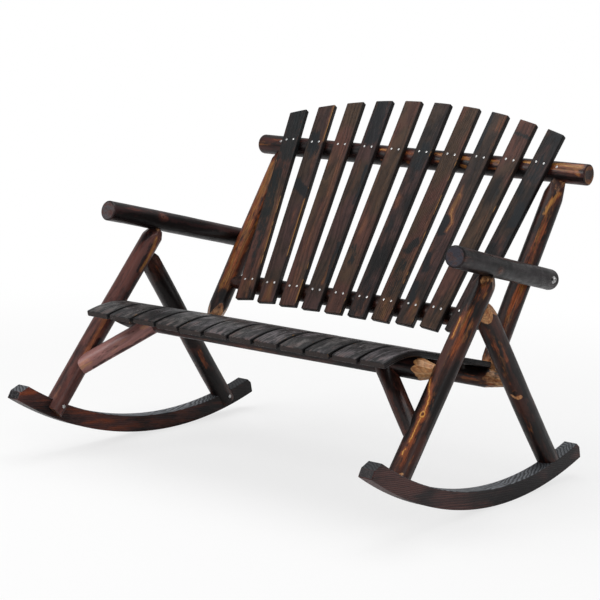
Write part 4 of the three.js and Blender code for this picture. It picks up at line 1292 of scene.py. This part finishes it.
# How much brown shows through the char, and how pale the axe cuts are at each log's two ends
PLAIN_TONE_SHARE = 0.5
TONE_SHARES = {"front_leg_left": 0.75, "front_leg_right": 0.55, "rear_leg_right": 0.6,
               "back_post_left": 0.6, "back_post_right": 0.6, "brace_left": 1, "brace_right": 0.8,
               "front_seat_rail": 0.4}
PLAIN_BARE_SHARES = (0.5, 0.5)
BARE_SHARES = {"front_leg_left": (0, 0.26), "front_leg_right": (0, 0.34),
               "rear_leg_left": (0, 0.15), "rear_leg_right": (0, 1), "back_post_left": (0.5, 0.1),
               "back_post_right": (0.5, 0.28), "front_seat_rail": (0.3, 1),
               "rear_seat_rail": (0.3, 0.5), "lower_back_rail": (0, 0)}
POST_TENONS = (REAR_RAIL_RADIUS - POST_SINK + PINNED_TENON_BEYOND,
               TOP_RAIL_RADIUS - POST_SINK + PINNED_TENON_BEYOND)
TENONS = (TENON_LENGTH, TENON_LENGTH)
LEG_TENONS = (0, TENON_LENGTH)
LEG_ENDS = ("plain", "hewn")
HEWN_ENDS = ("hewn", "hewn")


def add_log(kind, name, line, radius, ends, **more):
    """One of the bench's logs, with its own look and figure. A rail has no side's name."""
    node = f"{kind}_{name}" if name else kind
    seed = LOG_NUMBERS[kind] + (name == "right")
    look = (BLACK_LOGS | RED_LOGS).get(node, brown_log)
    slot = "log_black" if node in BLACK_LOGS else "log_brown"
    tone = TONE_SHARES.get(node, PLAIN_TONE_SHARE)
    bare = BARE_SHARES.get(node, PLAIN_BARE_SHARES)
    make_log(node, *line, radius, ends, look, slot, seed, tone, bare, FIGURES.get(node), **more)


for name, side in SIDES.items():
    make_rocker(f"rocker_{name}", side, rocker_wood)
    for kind, line in (("front_leg", front_leg_line), ("rear_leg", rear_leg_line)):
        add_log(kind, name, line(side), LEG_RADIUS, LEG_ENDS, hewn=SHORT_HEWN_LENGTH,
                tenons=LEG_TENONS, keep_in=inside_rocker)
    add_log("armrest", name, arm_line(side), ARM_RADIUS, ("sawn", "domed"))
    add_log("back_post", name, post_line(side), POST_RADIUS, HEWN_ENDS, hewn=HEWN_LENGTH,
            tenons=POST_TENONS)
    add_log("brace", name, brace_line(side), BRACE_RADIUS, ("plain", "plain"))

FRONT_RAIL_HALF = front_rail_end[0] - LEG_RADIUS + SHOULDER_SINK
REAR_RAIL_HALF = rear_rail_end[0] - LEG_RADIUS + SHOULDER_SINK
LOWER_RAIL_HALF = POST_PLANE - POST_RADIUS + SHOULDER_SINK
RAIL_SHAPE = {"hewn": HEWN_LENGTH, "cuts": RAIL_CUTS, "tenons": TENONS, "crook": RAIL_CROOK,
              "swell": RAIL_SWELL_SHARE}
add_log("front_seat_rail", None, cross_line(FRONT_RAIL_HALF, front_rail_end[1], FRONT_RAIL_HEIGHT),
        FRONT_RAIL_RADIUS, HEWN_ENDS, **(RAIL_SHAPE | {"hewn": FRONT_HEWN_LENGTH}))
add_log("rear_seat_rail", None, cross_line(REAR_RAIL_HALF, rear_rail_end[1], REAR_RAIL_HEIGHT),
        REAR_RAIL_RADIUS, HEWN_ENDS, **RAIL_SHAPE)
add_log("top_rail", None, cross_line(TOP_RAIL_HALF, *TOP_RAIL), TOP_RAIL_RADIUS, ("round", "sawn"),
        crook=TOP_RAIL_CROOK, swell=RAIL_SWELL_SHARE)
add_log("lower_back_rail", None, cross_line(LOWER_RAIL_HALF, *LOWER_RAIL), LOWER_RAIL_RADIUS,
        HEWN_ENDS, **RAIL_SHAPE)

# Boards

SEAT_TONE_SHARES = (0.75, 0.5, 0.4, 0.7, 0.55, 0.85, 0.5, 0.7, 0.75, 0.5, 0.7, 0.6)
BACK_TONE_SHARES = (0.55, 0.8, 0.95, 0.75, 0.95, 0.48, 0.75, 0.62, 0.6, 0.4)
BACK_FIGURES = {
    0: {"chars": [([(600, 0), (420, 0)], 36, 1.1), ([(380, -4), (240, -8), (110, -6)], 22, 0.75),
                  ([(90, -6), (40, -4)], 14, 0.6)],
        "glows": [([(300, 26), (40, 24)], 9, 1), ([(-10, 4), (-50, 8)], 18, 1)]},
    1: {"chars": [([(480, -10), (440, 0)], 26, 1), ([(328, -20), (312, 0), (296, 18)], 16, 1.4),
                  ([(620, -10), (600, -20)], 12, 1)],
        "glows": [([(590, 24), (470, 27)], 6, 1.3), ([(270, 27), (90, 27)], 6, 1.3),
                  ([(-5, 4), (-50, 6)], 20, 1.1), ([(240, 0), (200, 4)], 16, 0.5)]},
    2: {"glows": [([(480, 10), (300, 12)], 10, 0.4), ([(20, 26), (-40, 26)], 7, 1.3),
                  ([(50, 2), (-30, 0)], 18, 0.7)]},
    3: {"chars": [([(620, 0), (500, 4)], 30, 1.05), ([(150, 24), (60, 22), (30, 28)], 10, 1),
                  ([(400, 20), (340, 24), (280, 22)], 9, 0.8)],
        "glows": [([(110, 26), (20, 12)], 6, 1.2), ([(360, 10), (300, 12)], 8, 0.5)]},
    4: {"glows": [([(600, 0), (520, 0)], 16, 0.4), ([(230, 0), (200, 0)], 16, 0.5)],
        "chars": [([(140, -10), (100, 0)], 18, 0.5)]},
    5: {"chars": [([(480, 0), (420, 0)], 24, 0.7)],
        "glows": [([(310, -10), (290, -12)], 12, 0.8), ([(0, 0), (-50, 0)], 18, 0.9)]},
    6: {"chars": [([(186, 8), (158, -4)], 15, 1), ([(120, 0), (30, 4)], 22, 0.6)],
        "glows": [([(0, 0), (-50, 4)], 22, 1.1), ([(560, 26), (60, 27)], 5, 0.7)]},
    7: {"chars": [([(264, -16), (246, -13), (226, -12)], 14, 1.6),
                  ([(150, -24), (110, -8)], 16, 1.1), ([(60, -16), (0, -8)], 13, 1),
                  ([(610, -24), (480, -22)], 10, 0.9)],
        "veins": [[(300, -11), (282, -8), (269, 1), (257, 6), (244, 5), (230, 1)]],
        "glows": [([(374, -11), (332, -9)], 7, 1.1), ([(340, -9), (298, -11), (282, -8)], 9, 1.6),
                  ([(282, -8), (268, 4), (256, 9)], 5, 1.5), ([(600, 14), (560, 12)], 11, 1),
                  ([(10, 14), (-50, 18)], 12, 1.3)]},
    8: {"chars": [([(552, -24), (545, 24)], 7, 1)], "glows": [([(600, 0)], 18, 0.6)]},
    9: {"chars": [([(330, 10), (300, 18), (280, 10)], 17, 1.3), ([(480, 0), (420, 0)], 22, 0.7)]},
}

for index, tone in enumerate(SEAT_TONE_SHARES):
    make_seat_slat(index, seat_grey, tone)
for index, tone in enumerate(BACK_TONE_SHARES):
    look, slot = (slat_dark, "slat_dark") if index % 2 else (slat_brown, "slat_brown")
    make_back_slat(index, look, tone, BACK_FIGURES.get(index))

# Fasteners

def add_fastener(node, origin, outward, profile):
    make_turned(node, origin, outward, profile, steel, node)


def add_brace_screw(node, cross, along, into, length):
    """A slanting screw that crosses the brace's axis at a point, its head sunk in the brace."""
    before = BRACE_RADIUS / math.sqrt(1 - (along @ into) ** 2) - HEAD_SINK
    add_fastener(node, cross - into * before, -into, cross_screw(length, *SCREW_HEAD))


def add_leg_bolt(node, side, foot, head):
    """Through the lap of a leg into the rocker."""
    origin = foot + unit(head - foot) * LAP_BOLT_RISE - X_AXIS * side * (LEG_RADIUS - SPOT_FACE)
    length = ROCKER_INNER - abs(origin[0]) + BOLT_BITE
    add_fastener(node, origin, -side * X_AXIS, bolt(length, HEX_HEAD))


def add_arm_bolt(name, side):
    """Through the armrest into the back post, on a washer."""
    start, end = arm_line(side)
    bolt_y = back_line_y(ARM_REAR_HEIGHT) + POST_SETBACK + ARM_BOLT_SETBACK
    origin = start + (end - start) * (bolt_y - start[1]) / (end[1] - start[1])
    origin = origin + X_AXIS * side * (ARM_RADIUS - SPOT_FACE + BOLT_GAP)
    length = abs(origin[0]) - POST_PLANE - POST_RADIUS + BOLT_BITE
    add_fastener(f"armrest_bolt_{name}", origin, side * X_AXIS, bolt(length, SOCKET_HEAD))
    add_fastener(f"armrest_washer_{name}", origin, side * X_AXIS, WASHER)


def add_top_rail_screw(name, side):
    normal = back_line[2]
    origin = place(side * POST_PLANE, *TOP_RAIL) + normal * (TOP_RAIL_RADIUS - SPOT_FACE)
    screw = cross_screw(TOP_RAIL_SCREW_LENGTH, *SCREW_HEAD)
    add_fastener(f"top_rail_screw_{name}", origin, normal, screw)


def add_brace_screws(name, side):
    """One into the front leg and one into the front seat rail."""
    foot, head = brace_axis(side)
    along = unit(head - foot)
    inset = LEG_RADIUS + BRACE_FOOT_SCREW_INSET
    cross = foot + (head - foot) * inset / BRACE_REACH
    add_brace_screw(f"brace_foot_screw_{name}", cross, along, side * X_AXIS,
                    BRACE_FOOT_SCREW_LENGTH)
    cross = at_height(foot, head, FRONT_RAIL_HEIGHT - FRONT_RAIL_RADIUS - BRACE_HEAD_SCREW_INSET)
    into = unit((head - cross) * place(0, 1, 1))
    add_brace_screw(f"brace_head_screw_{name}", cross, along, into, BRACE_HEAD_SCREW_LENGTH)


def add_slat_screws(index):
    """Two through a back slat into each of the two rails behind it."""
    origin, run, normal, spacing = back_line
    middle, fan = slat_fan(index)
    for rail, reach in (("lower", 0), ("top", spacing)):
        for number, sideways in enumerate((-SLAT_SCREW_HALF_SPACING, SLAT_SCREW_HALF_SPACING)):
            x = middle + reach * math.tan(fan) + sideways * math.cos(fan)
            up = reach - sideways * math.sin(fan)
            point = origin + X_AXIS * x + run * up + normal * (BOARD_THICKNESS - SLAT_SCREW_SINK)
            screw = cross_screw(SLAT_SCREW_LENGTH, *SLAT_SCREW_HEAD)
            make_turned(f"back_slat_screw_{index + 1:02d}_{rail}_{number + 1}", point, normal,
                        screw, steel)


for name, side in SIDES.items():
    add_leg_bolt(f"rocker_front_bolt_{name}", side, *front_leg_line(side))
    add_leg_bolt(f"rocker_rear_bolt_{name}", side, *rear_leg_line(side))
    add_arm_bolt(name, side)
    add_top_rail_screw(name, side)
    add_brace_screws(name, side)
for index in range(BACK_SLATS):
    add_slat_screws(index)

# Floor, light and camera, in metres and watts

FLOOR_HALF = 30
FLOOR_FADE = (0.8, 3.2)  # how far from the middle the floor turns to plain white
FLOOR_GLOW = 0.72
WORLD_LEVEL = 0.45
LAMPS = {  # where each stands, where it points, how wide and how deep it is, and its power
    "overhead": ((-0.3, 0.2, 3.4), (0, 0.1, 0.3), (3.2, 2.6), 62),
    "key": ((-1.6, -3.4, 2.6), (0, 0, 0.45), (1.8, 1.8), 60),
    "fill": ((3.6, -1.4, 1.8), (0, 0, 0.5), (2.0, 2.0), 22),
}
CAMERA_PLACE = (2.8594, -3.8706, 1.2306)
CAMERA_RIGHT = (0.79635, 0.60357, 0.03916)
CAMERA_BACK = (0.59147, -0.79065, 0.15821)
LENS_MM = 108.58
SENSOR_WIDTH_MM = 36


def floor_look():
    """White where the camera looks straight at it, with the bench's soft shadow."""
    tree = Tree("pale_floor")
    spot = tree.add("ShaderNodeTexCoord").outputs["Object"]
    speck = tree.noise(spot, 3, 2, 0.5)
    shade = tree.mix(speck, (0.86, 0.86, 0.86, 1), (0.84, 0.84, 0.84, 1))
    plain = tree.add("ShaderNodeBsdfDiffuse", {"Color": shade})
    glow = tree.add("ShaderNodeEmission", {"Strength": 1})
    seen = tree.add("ShaderNodeLightPath").outputs["Is Camera Ray"]
    share = tree.times(seen, tree.span(tree.length(spot), *FLOOR_FADE, FLOOR_GLOW, 1))
    mixed = tree.add("ShaderNodeMixShader", [share, plain.outputs[0], glow.outputs[0]])
    output = tree.add("ShaderNodeOutputMaterial")
    tree.links.new(mixed.outputs[0], output.inputs[0])
    return tree.material


def make_floor():
    mesh = bpy.data.meshes.new("floor")
    half = FLOOR_HALF
    corners = [(-half, -half, 0), (half, -half, 0), (half, half, 0), (-half, half, 0)]
    mesh.from_pydata(corners, [], [(0, 1, 2, 3)])
    mesh.materials.append(floor_look())
    floor = bpy.data.objects.new("floor", mesh)
    bpy.context.scene.collection.objects.link(floor)


def make_world():
    """An even white studio, seen by the camera at full white."""
    world = bpy.data.worlds.new("studio")
    bpy.context.scene.world = world
    world.use_nodes = True
    nodes, links = world.node_tree.nodes, world.node_tree.links
    nodes.clear()
    path = nodes.new("ShaderNodeLightPath")
    mixed = nodes.new("ShaderNodeMixShader")
    links.new(path.outputs["Is Camera Ray"], mixed.inputs[0])
    for socket, strength in ((1, WORLD_LEVEL), (2, 1)):
        white = nodes.new("ShaderNodeBackground")
        white.inputs["Color"].default_value = (1, 1, 1, 1)
        white.inputs["Strength"].default_value = strength
        links.new(white.outputs[0], mixed.inputs[socket])
    links.new(mixed.outputs[0], nodes.new("ShaderNodeOutputWorld").inputs[0])


def make_lamp(name, location, target, size, power):
    lamp = bpy.data.lights.new(name, "AREA")
    lamp.shape = "RECTANGLE"
    lamp.size, lamp.size_y = size
    lamp.energy = power
    lamp_object = bpy.data.objects.new(name, lamp)
    bpy.context.scene.collection.objects.link(lamp_object)
    lamp_object.location = location
    towards = Vector(target) - Vector(location)
    lamp_object.rotation_euler = towards.to_track_quat("-Z", "Y").to_euler()


def make_camera():
    camera = bpy.data.cameras.new("camera")
    camera.lens = LENS_MM
    camera.sensor_width = SENSOR_WIDTH_MM
    back = Vector(CAMERA_BACK).normalized()
    right = Vector(CAMERA_RIGHT)
    right = (right - back * right.dot(back)).normalized()
    basis = Matrix((right, back.cross(right), back)).transposed().to_4x4()
    camera_object = bpy.data.objects.new("camera", camera)
    camera_object.matrix_world = Matrix.Translation(CAMERA_PLACE) @ basis
    bpy.context.scene.collection.objects.link(camera_object)
    bpy.context.scene.camera = camera_object


make_floor()
make_world()
for name, lamp in LAMPS.items():
    make_lamp(name, *lamp)
make_camera()
bpy.context.scene.view_settings.view_transform = "Standard"
